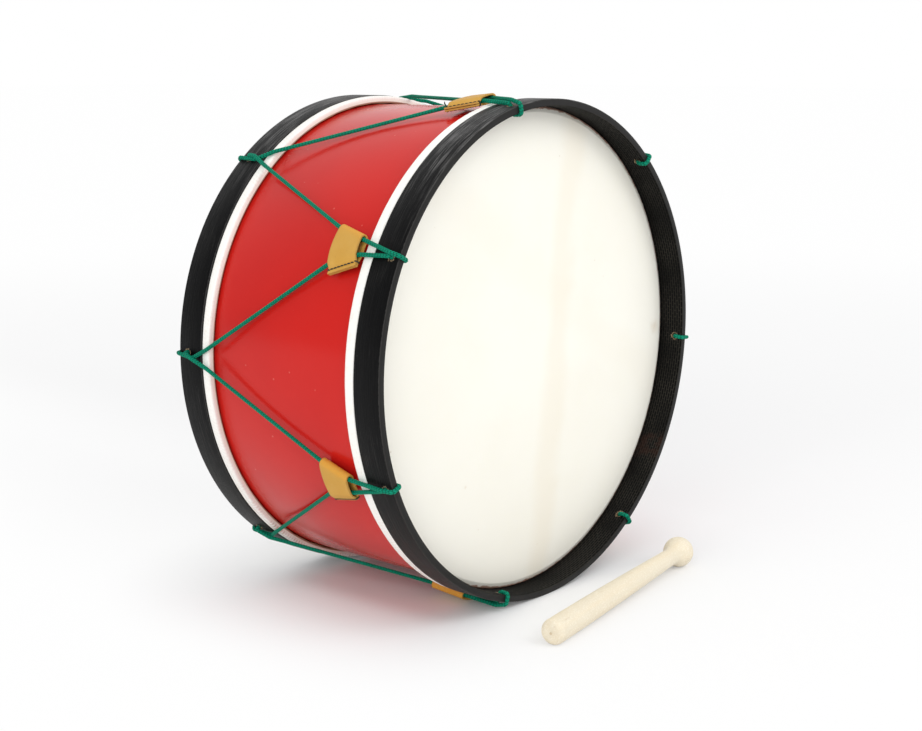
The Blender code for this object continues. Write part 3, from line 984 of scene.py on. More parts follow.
@dataclass
class Shell(Piecework):
    """The lacquered shell and the bare wooden rings inside it."""

    radius: float = 0.1686
    wall: float = 0.004
    edge_width: float = 0.0036
    edge_fall: float = 0.0014
    edge_ease: float = 0.0004
    steps: int = 224
    crease_angle: float = 30.0
    rings: tuple[str, ...] = ("reinforcement_ring", "flesh_hoop")

    def build(self) -> None:
        """Builds the shell and dresses the rings of the frame."""
        inner = self.radius - self.wall
        low = Layout.shell_edge
        front = [
            (inner, low, 0.0),
            (self.radius - self.edge_width, low, self.edge_ease),
            (self.radius, low + self.edge_fall, self.edge_ease),
            (self.radius, Layout.length / 2, 0.0),
        ]
        half = eased(front, 3)
        outline = half + [(radius, Layout.length - along) for radius, along in half[-2::-1]] + [half[0]]
        piece = Layout.turned("shell_lacquered", End.FRONT, outline, self.steps)
        smooth(piece, self.crease_angle)
        self.hand_in(piece, self.body, "shell", RedLacquer())
        for ring in self.rings:
            for end in End:
                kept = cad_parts[f"{ring}_{end.value}"]
                kept.data.materials.clear()
                kept.data.materials.append(RingWood().make())
                self.report(kept)


@dataclass
class Head(Piecework):
    """A skin: the flat face, the collar over the bearing edge and the lap round its hoop."""

    end: End = End.FRONT
    skin: float = 0.0007
    under: float = 0.0193
    crown: float = 0.1650
    collar: float = 0.1689
    collar_fall: float = 0.0014
    lap: float = 0.1746
    tuck: float = 0.1699
    steps: int = 640
    crease_angle: float = 50.0
    pleat: float = 0.00028
    pleats: int = 150
    pleat_lean: float = 0.03
    dents: float = 0.00012
    ripple: float = 0.0003

    def outline(self) -> Outline:
        """The skin in section, closed on the drum's axis."""
        start = Layout.lap_start
        end = Layout.lap_ends[self.end]
        skin = self.skin
        face = self.under - skin
        corners = [
            (0.0, face, 0.0),
            (self.crown + 0.0007, face, 0.0016),
            (self.collar + skin, face + self.collar_fall + 0.0002, 0.0012),
            (self.collar + skin, start, 0.0003),
            (self.lap, start, 0.0013),
            (self.lap, (start + end) / 2, 0.0),
            (self.lap, end, 0.0018),
            (self.tuck, end, 0.0),
            (self.tuck, end - skin, 0.0),
            (self.lap - skin, end - skin, 0.0009),
            (self.lap - skin, start + skin, 0.0009),
            (self.collar, start + skin, 0.0),
            (self.collar, self.under + self.collar_fall, 0.0005),
            (self.crown, self.under, 0.0008),
            (0.0, self.under, 0.0),
        ]
        return eased(corners, 4)

    def pucker(self, piece: Object) -> None:
        """Draws the lap into shallow slanting pleats and lets its tucked edge wander."""
        start = Layout.lap_start
        end = Layout.lap_ends[self.end]
        seed = 3.0 if self.end.is_front else 11.0
        for vertex in piece.data.vertices:
            x, y, z = vertex.co.x, vertex.co.y - Layout.front, vertex.co.z - Layout.axis_height
            radius = math.hypot(x, z)
            if radius < self.lap - 0.0035:
                continue
            along = y if self.end.is_front else Layout.length - y
            angle = math.atan2(x, z)
            share = limited((along - start) / (end - start))
            spot = Vector((math.cos(angle), math.sin(angle), seed))
            lean = angle + share * self.pleat_lean * (1 + noise.noise(spot * 3.0))
            wave = self.pleats * (lean + 0.02 * noise.noise(spot * 6.0))
            ridge = (0.5 + 0.5 * math.cos(wave)) ** 2 * (0.35 + 0.65 * abs(noise.noise(spot * 25.0)) * 2)
            outer = limited((radius - (self.lap - 0.0005)) / 0.0005)
            down = self.pleat * ridge * share * outer
            down += self.dents * (0.5 + 0.5 * noise.noise(spot * 9.0)) * outer
            wander = self.ripple * limited((share - 0.7) / 0.3) * (0.5 + 0.5 * noise.noise(spot * 14.0))
            keep = (radius - down) / radius
            behind = -wander if self.end.is_front else wander
            vertex.co = Vector((x * keep, vertex.co.y + behind, z * keep + Layout.axis_height))

    def build(self) -> None:
        """Builds the head."""
        node = "batter_head" if self.end.is_front else "back_head"
        piece = Layout.turned(node + "_skin", self.end, self.outline(), self.steps)
        self.pucker(piece)
        smooth(piece, self.crease_angle)
        self.hand_in(piece, self.body, node, DrumSkin() if self.end.is_front else BackSkin())


@dataclass
class CounterHoop(Piecework):
    """A black hoop with its seven rope holes, their edges splintered."""

    end: End = End.FRONT
    ease: float = 0.0006
    steps: int = 280
    crease_angle: float = 40.0
    drill_sides: int = 28
    drill_length: float = 0.015
    chips: int = 7
    chip_width: float = 0.00028
    chip_length: float = 0.0013
    chip_colour: Colour = (0.66, 0.52, 0.34)

    def drill(self, hoop: Object) -> None:
        """Cuts the seven holes."""
        drills = []
        for index in range(Layout.ears):
            angle, along = Layout.hole(self.end, index)
            select_only()
            bpy.ops.mesh.primitive_cylinder_add(
                vertices=self.drill_sides,
                radius=Layout.hole_radius,
                depth=self.drill_length,
                location=Layout.spot(angle, 0.0, (Layout.hoop_inside + Layout.hoop_outside) / 2, along),
                rotation=(0.0, angle, 0.0),
            )
            drills.append(bpy.context.object)
        drill = join(drills, "drill")
        cut = hoop.modifiers.new("rope holes", "BOOLEAN")
        cut.operation = "DIFFERENCE"
        cut.solver = "EXACT"
        cut.object = drill
        apply_all(hoop)
        bpy.data.objects.remove(drill, do_unlink=True)

    def splinters(self) -> Object:
        """Small chips of bare wood that stand up round each hole."""
        select_only()
        bpy.ops.mesh.primitive_cone_add(
            vertices=5, radius1=self.chip_width, depth=self.chip_length, location=(0, 0, 0)
        )
        chip = bpy.context.object
        bpy.ops.object.mode_set(mode="EDIT")
        bpy.ops.mesh.select_all(action="SELECT")
        bpy.ops.transform.resize(value=(1.5, 0.5, 1.0), center_override=(0, 0, 0))
        bpy.ops.transform.translate(value=(0.0, 0.0, self.chip_length * 0.2))
        bpy.ops.object.mode_set(mode="OBJECT")
        settle(chip)
        chance = random.Random(self.end.value)
        copies = []
        for index in range(Layout.ears):
            angle, along = Layout.hole(self.end, index)
            out = Layout.outward(angle).to_track_quat("Z", "Y").to_matrix().to_4x4()
            for _ in range(self.chips):
                way = chance.uniform(0.0, TURN)
                reach = Layout.hole_radius + chance.uniform(0.00005, 0.0005)
                aside, behind = reach * math.cos(way), along + reach * math.sin(way)
                place = Layout.spot(angle, aside, Layout.hoop_outside - 0.0002, behind)
                size = chance.uniform(0.45, 1.1)
                tilt = Matrix.Rotation(chance.uniform(0.75, 1.35), 4, "X")
                spin = Matrix.Rotation(way + chance.uniform(-0.9, 0.9), 4, "Z")
                data = chip.data.copy()
                data.transform(Matrix.Translation(place) @ out @ spin @ tilt @ Matrix.Scale(size, 4))
                copies.append(link(chip.name, data))
        bpy.data.objects.remove(chip, do_unlink=True)
        return join(copies, f"hole_splinters_{self.end.value}")

    def build(self) -> None:
        """Builds the hoop and its splinters."""
        side = self.end.value
        inside, outside, wide = Layout.hoop_inside, Layout.hoop_outside, Layout.hoop_width
        corners = [
            (inside, wide / 2, 0.0),
            (inside, 0.0, self.ease),
            (outside, 0.0, self.ease),
            (outside, wide, self.ease),
            (inside, wide, self.ease),
            (inside, wide / 2, 0.0),
        ]
        hoop = Layout.turned(f"hoop_painted_{side}", self.end, eased(corners, 3), self.steps)
        self.drill(hoop)
        smooth(hoop, self.crease_angle)
        low = 0.0 if self.end.is_front else Layout.length - wide
        holes = tuple(Layout.hole(self.end, index) for index in range(Layout.ears))
        finish = BlackHoop(name=f"black hoop {side}", holes=holes, edges=(low, low + wide))
        self.hand_in(hoop, self.body, f"counter_hoop_{side}", finish)
        chips = self.splinters()
        wood = Wood(name="splintered wood", slot="raw_wood", colour=self.chip_colour, scale=900.0)
        self.dress(chips, wood)
        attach(chips, self.body)
        self.report(chips)


@dataclass
class EarPlace:
    """Where one leather ear sits on its two strands."""

    index: int = 0
    setbacks: tuple[float, ...] = (0.0, 0.004, 0.002, 0.005, 0.0, 0.003, 0.0)
    fall: float = math.radians(7.5)
    rope: float = 0.0017
    clearance: float = 0.0003
    gap: float = 0.00035
    leather: float = 0.0013
    thread: float = 0.0004
    mouth_bend: float = 0.0010
    length: float = 0.026
    narrow: float = 0.005
    wide: float = 0.0125

    @property
    def body(self) -> str:
        """The body that slides with this ear."""
        return f"ear_{self.index + 1}"

    @property
    def angle(self) -> float:
        """Angle round the drum."""
        return Layout.ear_angle(self.index)

    @property
    def cavity(self) -> float:
        """Half the height of the space inside the ear."""
        return self.rope + self.clearance

    def start(self) -> tuple[float, float]:
        """(height, along) of the rope's middle at the ear's narrow end."""
        overhang = (self.cavity + self.leather) * math.sin(self.fall)
        behind = 2 * (self.clearance + self.thread) + overhang + self.setbacks[self.index]
        height = Layout.hoop_outside / math.cos(math.pi / Layout.hoop_sides) + self.rope + self.gap
        return height - behind * math.tan(self.fall), Layout.lap_ends[End.FRONT] + behind

    def spread(self, run: float) -> float:
        """Sideways place of the strands at a distance from the narrow end."""
        return self.narrow + (self.wide - self.narrow) * run / self.length

    def strand(self, side: int, run: float) -> Vector:
        """A point of a strand at a distance from the narrow end."""
        height, along = self.start()
        height -= run * math.sin(self.fall)
        along += run * math.cos(self.fall)
        return Layout.spot(self.angle, side * self.spread(run), height, along)

    def matrix(self) -> Matrix:
        """Turns the ear's own (aside, along, up) into world metres."""
        out = Layout.outward(self.angle)
        back = BACKWARDS * math.cos(self.fall) - out * math.sin(self.fall)
        up = out * math.cos(self.fall) + BACKWARDS * math.sin(self.fall)
        turn = Matrix((Layout.sideways(self.angle), back, up)).transposed().to_4x4()
        return Matrix.Translation(Layout.spot(self.angle, 0.0, *self.start())) @ turn


@dataclass
class LeatherEar(Piecework):
    """A folded and stitched leather ear, with its thread."""

    place: EarPlace = field(default_factory=EarPlace)
    flange: float = 0.0056
    flange_drop: float = 0.0010
    flange_share: float = 0.12
    rise_share: float = 0.22
    top_share: float = 0.40
    seam_inset: float = 0.0028
    layer_gap: float = 0.00004
    side_length: float = 0.0238
    bulge: float = 0.0020
    pitch: float = 0.0031
    dash: float = 0.0028
    thread_rise: float = 0.00012
    loose_end: bool = False
    across: int = 72
    lengthwise: int = 18
    crease_angle: float = 42.0

    def seam(self, spread: float) -> float:
        """Sideways place of the stitching where the strands are this far aside."""
        return -spread - self.place.cavity - self.seam_inset

    def reach(self, aside: float, spread: float) -> float:
        """Length of the leather at a place across it, longest at its middle."""
        share = limited(abs(aside) / (spread + self.place.cavity))
        return self.side_length + self.bulge * (1 - share**2)

    def section(self, u: float, spread: float) -> tuple[float, float]:
        """A point of the folded leather's inner face.

        Args:
            u: 0 at the upper layer's cut edge, through the fold at 0.5, to 1 at the lower one's.
            spread: Sideways place of the strands here.

        Returns:
            (aside, up) of the point.
        """
        way = -1 if u > 0.5 else 1
        share = min(u, 1 - u)
        cavity = self.place.cavity
        seam = self.seam(spread)
        rise_end = -spread + 0.0006
        if share < self.flange_share:
            out = 1 - share / self.flange_share
            up = self.layer_gap + 0.00022 * out**1.5
            return seam - (self.flange - self.seam_inset) * out, -self.flange_drop + way * up
        if share < self.rise_share:
            run = (share - self.flange_share) / (self.rise_share - self.flange_share)
            lift = math.sin(math.pi / 2 * run) ** 1.3
            foot = -self.flange_drop + way * self.layer_gap
            return seam + (rise_end - seam) * run, foot + (way * cavity - foot) * lift
        if share < self.top_share:
            run = (share - self.rise_share) / (self.top_share - self.rise_share)
            swell = 0.00025 * math.sin(math.pi * run)
            return rise_end + (spread - rise_end) * run, -cavity if way < 0 else cavity + swell
        lean = math.pi / 2 * (0.5 - share) / (0.5 - self.top_share)
        return spread + math.cos(lean) * (cavity + 0.00015), way * math.sin(lean) * cavity

    def fold(self) -> Object:
        """Folds a flat sheet round the strands and gives it its thickness."""
        select_only()
        across, lengthwise = self.across, self.lengthwise
        bpy.ops.mesh.primitive_grid_add(x_subdivisions=across, y_subdivisions=lengthwise, size=1.0)
        piece = bpy.context.object
        index = self.place.index
        for vertex in piece.data.vertices:
            u, v = vertex.co.x + 0.5, vertex.co.y + 0.5
            guess = self.place.spread(v * self.side_length)
            aside, _ = self.section(u, guess)
            along = v * self.reach(aside, guess)
            aside, up = self.section(u, self.place.spread(along))
            warp = noise.noise(Vector((aside * 160, along * 160, index * 7.0)))
            skew = 0.0003 * noise.noise(Vector((u * 6, index * 5.0, 1.0))) * v
            vertex.co = Vector((aside, along + skew, up + 0.00006 * warp))
        wall = piece.modifiers.new("thickness", "SOLIDIFY")
        wall.thickness = self.place.leather - 0.00005
        wall.offset = 1.0
        wall.material_offset = 1
        wall.material_offset_rim = 1
        cut = piece.modifiers.new("cut edge", "BEVEL")
        cut.width = 0.00022
        cut.segments = 2
        cut.limit_method = "ANGLE"
        cut.angle_limit = math.radians(55)
        apply_all(piece)
        piece.name = f"ear_leather_{index + 1}"
        piece.data.name = piece.name
        return piece

    def stitches(self) -> Object:
        """The thread: a row of stitches on both layers and a turn round each end."""
        thick = self.place.leather + self.thread_rise
        top, low = thick - self.flange_drop, -thick - self.flange_drop
        start, finish = 0.0017, self.side_length - 0.0015
        count = round((finish - start) / self.pitch)
        step = (finish - start) / count
        paths = []
        for up, lean in ((top, 1.0), (low, -1.0)):
            for number in range(count):
                path = []
                for share in (-1.0, -0.75, -0.4, 0.0, 0.4, 0.75, 1.0):
                    along = start + (number + 0.5) * step + share * self.dash / 2
                    aside = self.seam(self.place.spread(along)) + self.thread_rise * share * lean
                    sink = lean * (self.thread_rise - 0.0006 * abs(share) ** 3)
                    path.append((aside, along, up + sink))
                paths.append(path)
        for edge, way in ((0.0, -1.0), (self.side_length + 0.0001, 1.0)):
            over = ((-0.0017, -0.0003), (-0.0009, 0.00022), (0.0, 0.00022), (0.00045, -0.0002))
            aside = self.seam(self.place.spread(edge))
            path = [(aside, edge + way * past, top + up) for past, up in over]
            paths.append(path + [(aside, edge + way * past, low - up) for past, up in reversed(over)])
        if self.loose_end:
            edge = self.side_length
            aside = self.seam(self.place.spread(edge))
            curl = ((0, 0, -0.1), (0.1, 0.2, 1.2), (-0.2, 0.6, 2.6), (0.2, 0.8, 3.9))
            paths.append([(aside + x * MM, edge + y * MM, top + z * MM) for x, y, z in curl])
        return PlainCord().build(f"ear_thread_{self.place.index + 1}", paths)

    def build(self) -> None:
        """Builds the ear and its thread, and puts them on their strands."""
        number = self.place.index + 1
        piece = self.fold()
        piece.data.transform(self.place.matrix())
        smooth(piece, self.crease_angle)
        self.hand_in(piece, self.place.body, f"leather_ear_{number}", Leather(), CutLeatherWithPaintedShade())
        thread = self.stitches()
        thread.data.transform(self.place.matrix())
        self.hand_in(thread, self.place.body, f"ear_stitch_{number}", Thread())


# Cords


@dataclass
class Centreline:
    """A cord's middle line with a frame at each point that doesn't twist."""

    points: np.ndarray
    normals: np.ndarray
    binormals: np.ndarray
    lengths: np.ndarray

    @staticmethod
    def measured(points: np.ndarray) -> np.ndarray:
        """Length up to each point of a line."""
        return np.concatenate(([0.0], np.cumsum(np.linalg.norm(np.diff(points, axis=0), axis=1))))

    @classmethod
    def through(cls, given: Sequence[Sequence[float]]) -> "Centreline":
        """Carries a frame along a line of points.

        Args:
            given: The points.

        Returns:
            The line with its frames and the length up to each point.
        """
        points = np.array(given, float)
        ways = np.gradient(points, axis=0)
        ways /= np.linalg.norm(ways, axis=1)[:, None]
        way = Vector(ways[0])
        normal = way.orthogonal().normalized()
        normals = [normal.copy()]
        for row in ways[1:]:
            there = Vector(row)
            normal = way.rotation_difference(there) @ normal
            normal = (normal - there * normal.dot(there)).normalized()
            normals.append(normal.copy())
            way = there
        return cls(points, np.array(normals), np.cross(ways, normals), cls.measured(points))

    @classmethod
    def evenly(cls, given: Sequence[Vector], step: float) -> "Centreline":
        """The same along a line whose points are set again at an even step."""
        points = np.array([tuple(point) for point in given], float)
        lengths = cls.measured(points)
        at = np.linspace(0.0, lengths[-1], int(round(lengths[-1] / step)) + 1)
        return cls.through(np.stack([np.interp(at, lengths, points[:, axis]) for axis in range(3)], 1))

    def nearest(self, spot: Vector, after: int) -> int:
        """Index of the point nearest a place, looked for after an index."""
        away = np.linalg.norm(self.points[after:] - np.array(spot), axis=1)
        return after + int(np.argmin(away))

    def tube(self, part: slice, widths: np.ndarray) -> np.ndarray:
        """Rings of points round a part of the line.

        Args:
            part: Which points of the line.
            widths: Radius at each side, with one row for each point.

        Returns:
            The points, one a row, ring by ring.
        """
        angles = np.arange(widths.shape[1]) * TURN / widths.shape[1]
        circle = np.cos(angles)[None, :, None] * self.normals[part][:, None]
        circle = circle + np.sin(angles)[None, :, None] * self.binormals[part][:, None]
        return (self.points[part][:, None] + widths[:, :, None] * circle).reshape(-1, 3)


def tubes(name: str, blocks: Sequence[np.ndarray], sides: int) -> Object:
    """One mesh of closed tubes, for cords.

    Args:
        name: Name of the new object.
        blocks: Points of each tube, one a row, ring by ring.
        sides: Points of each ring.

    Returns:
        The object.
    """
    faces: list[tuple[int, ...]] = []
    first = 0
    for block in blocks:
        last = first + len(block) - sides
        for base in range(first, last, sides):
            for side in range(sides):
                after = (side + 1) % sides
                faces.append((base + side, base + after, base + sides + after, base + sides + side))
        faces.append(tuple(reversed(range(first, first + sides))))
        faces.append(tuple(range(last, last + sides)))
        first = last + sides
    data = bpy.data.meshes.new(name)
    data.from_pydata(np.concatenate(blocks).tolist(), [], faces)
    data.shade_smooth()
    return link(name, data)


@dataclass
class PlainCord:
    """A plain round cord through a few points, with rounded ends."""

    radius: float = 0.00045
    sides: int = 8
    end_share: float = 0.55

    def build(self, name: str, paths: Sequence[Sequence[Sequence[float]]]) -> Object:
        """Builds one object with a closed tube along each path."""
        blocks = []
        for path in paths:
            widths = np.full((len(path), self.sides), self.radius)
            widths[[0, -1]] = self.radius * self.end_share
            blocks.append(Centreline.through(path).tube(slice(None), widths))
        return tubes(name, blocks, self.sides)


@dataclass
class BraidedCord:
    """A braided cord whose stitches stand out of its surface."""

    radius: float = 0.0017
    relief: float = 0.00034
    columns: int = 8
    per_column: int = 3
    stitch: float = 0.0022
    lean: float = 0.25

    def build(self, name: str, line: Centreline, runs: Runs, pull: np.ndarray) -> Object:
        """Builds one object from stretches of one line.

        Args:
            name: Name of the object.
            line: The whole cord's middle line.
            runs: First and last point of each stretch.
            pull: How thin the cord is drawn at each point, 1 where it is at full thickness.

        Returns:
            The object, with a UV map that counts columns and stitches.
        """
        sides = self.columns * self.per_column
        column = np.arange(sides) / self.per_column
        cell = (column % 1.0) * 2 - 1
        odd = np.where(np.floor(column) % 2 == 0, 1.0, -1.0)
        blocks = []
        rows = []
        for low, high in runs:
            part = slice(low, high + 1)
            along = line.lengths[part] / self.stitch
            phase = along[:, None] + (cell * odd)[None, :] * self.lean
            beat = np.abs(np.cos(np.pi * phase)) ** 0.6
            crown = (1 - np.abs(cell) ** 3)[None, :] * (0.25 + 0.75 * beat)
            widths = (self.radius - self.relief * (1 - crown)) * pull[part][:, None]
            blocks.append(line.tube(part, widths))
            rows += along.tolist()
        piece = tubes(name, blocks, sides)
        self.count_stitches(piece, np.array(rows), sides)
        return piece

    def count_stitches(self, piece: Object, rows: np.ndarray, sides: int) -> None:
        """Writes the UV map: columns round the cord and stitches along it."""
        mesh = piece.data
        layer = mesh.uv_layers.new(name="braid")
        corners = np.zeros(len(mesh.loops), np.int32)
        mesh.loops.foreach_get("vertex_index", corners)
        starts = np.zeros(len(mesh.polygons), np.int32)
        mesh.polygons.foreach_get("loop_start", starts)
        totals = np.zeros(len(mesh.polygons), np.int32)
        mesh.polygons.foreach_get("loop_total", totals)
        ring, side = corners // sides, corners % sides
        owner = np.repeat(np.arange(len(starts)), totals)
        wrapped = (totals[owner] == 4) & (side[starts[owner]] == sides - 1) & (side == 0)
        across = (side + np.where(wrapped, sides, 0)) / self.per_column
        layer.data.foreach_set("uv", np.stack([across, rows[ring]], 1).astype(np.float32).ravel())


@dataclass(frozen=True)
class BackWrap:
    """How the rope lies round one hole of the back hoop.

    Asides are measured from the hole towards growing angles. meeting is where the strand that
    leaves crosses the one that arrives: (aside, distance from the hole towards the lap).
    """

    arrival: float = 0.0075
    meeting: tuple[float, float] = (-0.0035, 0.0065)
    edge: float = -0.0018
    departure: float = 0.0125
    crossed: bool = True


@dataclass
class TensionRope(Piecework):
    """The one rope that laces the two hoops together, and the knot in its ends."""

    cord: BraidedCord = field(default_factory=BraidedCord)
    hug: float = 0.0001
    bite: float = 0.0004
    bend: float = 0.0024
    edge_bend: float = 0.0023
    over: float = 0.0020
    over_aside: float = 0.0019
    front_edge: float = 0.0006
    crossing: float = 0.0026
    front_pull: float = 0.88
    back_pull: float = 0.86
    thin: float = 0.79
    wraps: tuple[BackWrap, ...] = (
        BackWrap(0.0085, (0.0032, 0.007), 0.0026, 0.0085, crossed=False),
        BackWrap(),
        BackWrap(),
        BackWrap(),
        BackWrap(0.0028, (-0.0062, 0.0095), -0.0046, 0.0138),
        BackWrap(0.0046, (-0.0028, 0.0062), -0.0008, 0.0084),
        BackWrap(0.0066, (-0.0018, 0.0084), -0.0008, 0.0066),
    )
    knot_hole: int = 1
    flat_hole: int = 3
    start_depth: float = 0.0018
    to_knot: float = 0.0048
    knot_size: float = 0.0031
    knot_depth: float = 0.0030
    knot_inset: float = 0.0102
    knot_opening: float = 0.62
    knot_steps: int = 120
    knot_tail: tuple = ((1.55, 2.9), (2.1, 4.1))
    step: float = 0.00036

    def round_hoop(self, pull: float) -> tuple[float, float, float]:
        """How a rope drawn this thin lies round a hoop, biting a little into its edge.

        Args:
            pull: Share of the cord's full thickness.

        Returns:
            (height on the outer face, height on the inner face, distance past the edge).
        """
        thick = self.cord.radius * pull
        past = thick - self.bite
        return Layout.hoop_outside + thick + self.hug, Layout.hoop_inside - past, past

    def front_turn(self, index: int) -> Route:
        """Past an ear, over the front hoop's edge, out through its hole and back to the ear."""
        place = EarPlace(index=index)
        angle, hole = Layout.hole(End.FRONT, index)
        high, low, past = self.round_hoop(self.front_pull)
        mouth = place.length + place.mouth_bend
        spot = Layout.spot
        return [
            (place.strand(1, mouth), self.bend * 4),
            (place.strand(1, 0.0), self.bend * 4),
            (spot(angle, self.over_aside, high + self.over, hole), self.bend * 3),
            (spot(angle, self.front_edge, high, -past), self.edge_bend),
            (spot(angle, self.front_edge, low, -past), self.edge_bend),
            (spot(angle, 0.0, low, hole), self.bend),
            (spot(angle, 0.0, high, hole), self.bend),
            (place.strand(-1, 0.0), self.bend * 4),
            (place.strand(-1, mouth), self.bend * 4),
        ]

    def over_edge(self, index: int) -> Route:
        """Round the back hoop's edge beside a hole, from outside to inside."""
        angle, _ = Layout.hole(End.BACK, index)
        high, low, past = self.round_hoop(self.back_pull)
        edge = self.wraps[index].edge
        return [(Layout.spot(angle, edge, h, Layout.length + past), self.edge_bend) for h in (high, low)]

    def back_arrival(self, index: int) -> Route:
        """From an ear up to the inside of the back hoop."""
        angle, hole = Layout.hole(End.BACK, index)
        high, low, _ = self.round_hoop(self.back_pull)
        rim = Layout.length - Layout.lap_ends[End.BACK]
        wrap = self.wraps[index]
        spot = Layout.spot
        if index == self.flat_hole:
            return [
                (spot(angle, 0.0, high, rim), self.bend * 3),
                (spot(angle, 0.0, high, hole), self.bend),
                (spot(angle, 0.0, low, hole), self.bend),
            ]
        aside, back = wrap.meeting
        return [
            (spot(angle, wrap.arrival, high, rim), self.bend * 3),
            (spot(angle, aside, high, hole - back), self.bend * 2),
            *self.over_edge(index),
        ]

    def leaving(self, index: int) -> Vector:
        """Where the rope leaves the back hoop towards the next ear."""
        angle, _ = Layout.hole(End.BACK, index)
        high, _, _ = self.round_hoop(self.back_pull)
        rim = Layout.length - Layout.lap_ends[End.BACK]
        return Layout.spot(angle, -self.wraps[index].departure, high, rim)

    def back_departure(self, index: int) -> Route:
        """From the inside of the back hoop out towards the next ear."""
        angle, hole = Layout.hole(End.BACK, index)
        high, _, _ = self.round_hoop(self.back_pull)
        wrap = self.wraps[index]
        leaving = (self.leaving(index), self.bend * 3)
        if index == self.flat_hole:
            return [*reversed(self.over_edge(index)), leaving]
        if not wrap.crossed:
            return [(Layout.spot(angle, 0.0, high, hole), self.bend), leaving]
        aside, back = wrap.meeting
        return [
            (Layout.spot(angle, 0.0007, high + self.crossing * 0.6, hole), self.bend),
            (Layout.spot(angle, aside + 0.0008, high + self.crossing, hole - back), self.bend * 2),
            leaving,
        ]

    def route(self) -> Route:
        """The whole rope, from inside the knot's hole round the drum to the knot."""
        angle, hole = Layout.hole(End.BACK, self.knot_hole)
        _, low, _ = self.round_hoop(self.back_pull)
        route = [(Layout.spot(angle, 0.0, Layout.hoop_inside - self.start_depth, hole), 0.0)]
        route += self.back_departure(self.knot_hole)
        for step in range(1, Layout.ears):
            index = (self.knot_hole - step) % Layout.ears
            route += self.front_turn((index + 1) % Layout.ears) + self.back_arrival(index)
            if index != self.flat_hole:
                route.append((Layout.spot(Layout.hole(End.BACK, index)[0], 0.0, low, hole), self.bend))
            route += self.back_departure(index)
        route += self.front_turn((self.knot_hole + 1) % Layout.ears) + self.back_arrival(self.knot_hole)
        end = Layout.spot(angle, self.wraps[self.knot_hole].edge, low, Layout.length - self.to_knot)
        return route + [(end, 0.0)]

    def rounded(self, route: Route, degrees: float = 9.0) -> list[Vector]:
        """Rounds a route's corners.

        Args:
            route: Corners, each with its bend radius.
            degrees: Largest step of a bend.

        Returns:
            The points of the rounded line.
        """
        points = [route[0][0]]
        for index in range(1, len(route) - 1):
            corner, bend = route[index]
            before = route[index - 1][0] - corner
            after = route[index + 1][0] - corner
            turn = math.pi - before.angle(after)
            room = min(before.length, after.length) * 0.48
            if turn < math.radians(0.5):
                points.append(corner)
                continue
            reach = min(bend * math.tan(turn / 2), room)
            bend = reach / math.tan(turn / 2)
            before.normalize()
            after.normalize()
            centre = corner + (before + after).normalized() * (bend / math.cos(turn / 2))
            first = corner + before * reach - centre
            last = corner + after * reach - centre
            steps = max(2, math.ceil(math.degrees(turn) / degrees))
            for step in range(steps + 1):
                points.append(centre + first.slerp(last, step / steps).normalized() * bend)
        return points + [route[-1][0]]

    def drawn_thin(self, line: Centreline) -> np.ndarray:
        """How thin the taut strands are drawn over the shell, point by point."""
        along = line.points[:, 1] - Layout.front
        into = np.clip((along - 0.058) / 0.018, 0.0, 1.0)
        out = np.clip((Layout.length - 0.030 - along) / 0.014, 0.0, 1.0)
        ends = np.where(along < Layout.length / 2, self.front_pull, self.back_pull)
        share = (into**2 * (3 - 2 * into)) * (out**2 * (3 - 2 * out))
        return ends + (self.thin - ends) * share

    def strands(self, name: str, part: tuple, bodies: tuple[str, str], near: float, far: float) -> None:
        """Builds stretches of the rope as one piece, in place of the frame's rope.

        Args:
            name: Name of the piece.
            part: The line, the runs and the pull that the cord takes.
            bodies: The body at the front and the one at the back; not used.
            near: Distance along the drum where the bending would start; not used.
            far: Distance along the drum where it would end; not used.
        """
        piece = self.cord.build(name, *part)
        self.dress(piece, BraidedRope())
        start, end = (Vector((0.0, Layout.front + along, 0.0)) for along in (near, far))
        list(bodies)
        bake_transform(piece)
        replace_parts(piece, "tension_rope")
        self.report(piece)

    def build_rope(self) -> None:
        """Builds the rope in pieces, one in front of and one behind each ear."""
        line = Centreline.evenly(self.rounded(self.route()), self.step)
        LOG.info("tension rope: %.3f m long", line.lengths[-1])
        pull = self.drawn_thin(line)
        places = [EarPlace(index=index) for index in range(Layout.ears)]
        fronts: dict[int, tuple[int, int]] = {}
        legs: dict[int, Runs] = {}
        here = 0
        for step in range(Layout.ears):
            index = (self.knot_hole - step) % Layout.ears
            middle = places[index].length / 2
            into = line.nearest(places[index].strand(1, middle), here)
            out = line.nearest(places[index].strand(-1, middle), into + int(0.03 / self.step))
            back = len(line.points) - 1
            if step < Layout.ears - 1:
                back = line.nearest(self.leaving((index - 1) % Layout.ears), out)
            fronts[index] = (into, out)
            legs[index] = [(here, into), (out, back)]
            here = back
        rim = Layout.length - Layout.lap_ends[End.BACK]
        for index, place in enumerate(places):
            _, along = place.start()
            front, back = (self.body, place.body), (place.body, self.body)
            part = (line, [fronts[index]], pull)
            self.strands(f"rope_front_{index + 1}", part, front, Layout.hoop_width, along)
            part = (line, legs[index], pull)
            self.strands(f"rope_back_{index + 1}", part, back, along + place.length, rim)

    def knot_spot(self, across: float, along: float, rise: float) -> Vector:
        """A point of the knot, from its own middle, in knot sizes."""
        angle, _ = Layout.hole(End.BACK, self.knot_hole)
        height = self.round_hoop(self.back_pull)[1] - self.knot_depth + rise * self.knot_depth
        back = Layout.length - self.knot_inset + along * self.knot_size
        return Layout.spot(angle, across * self.knot_size, height, back)

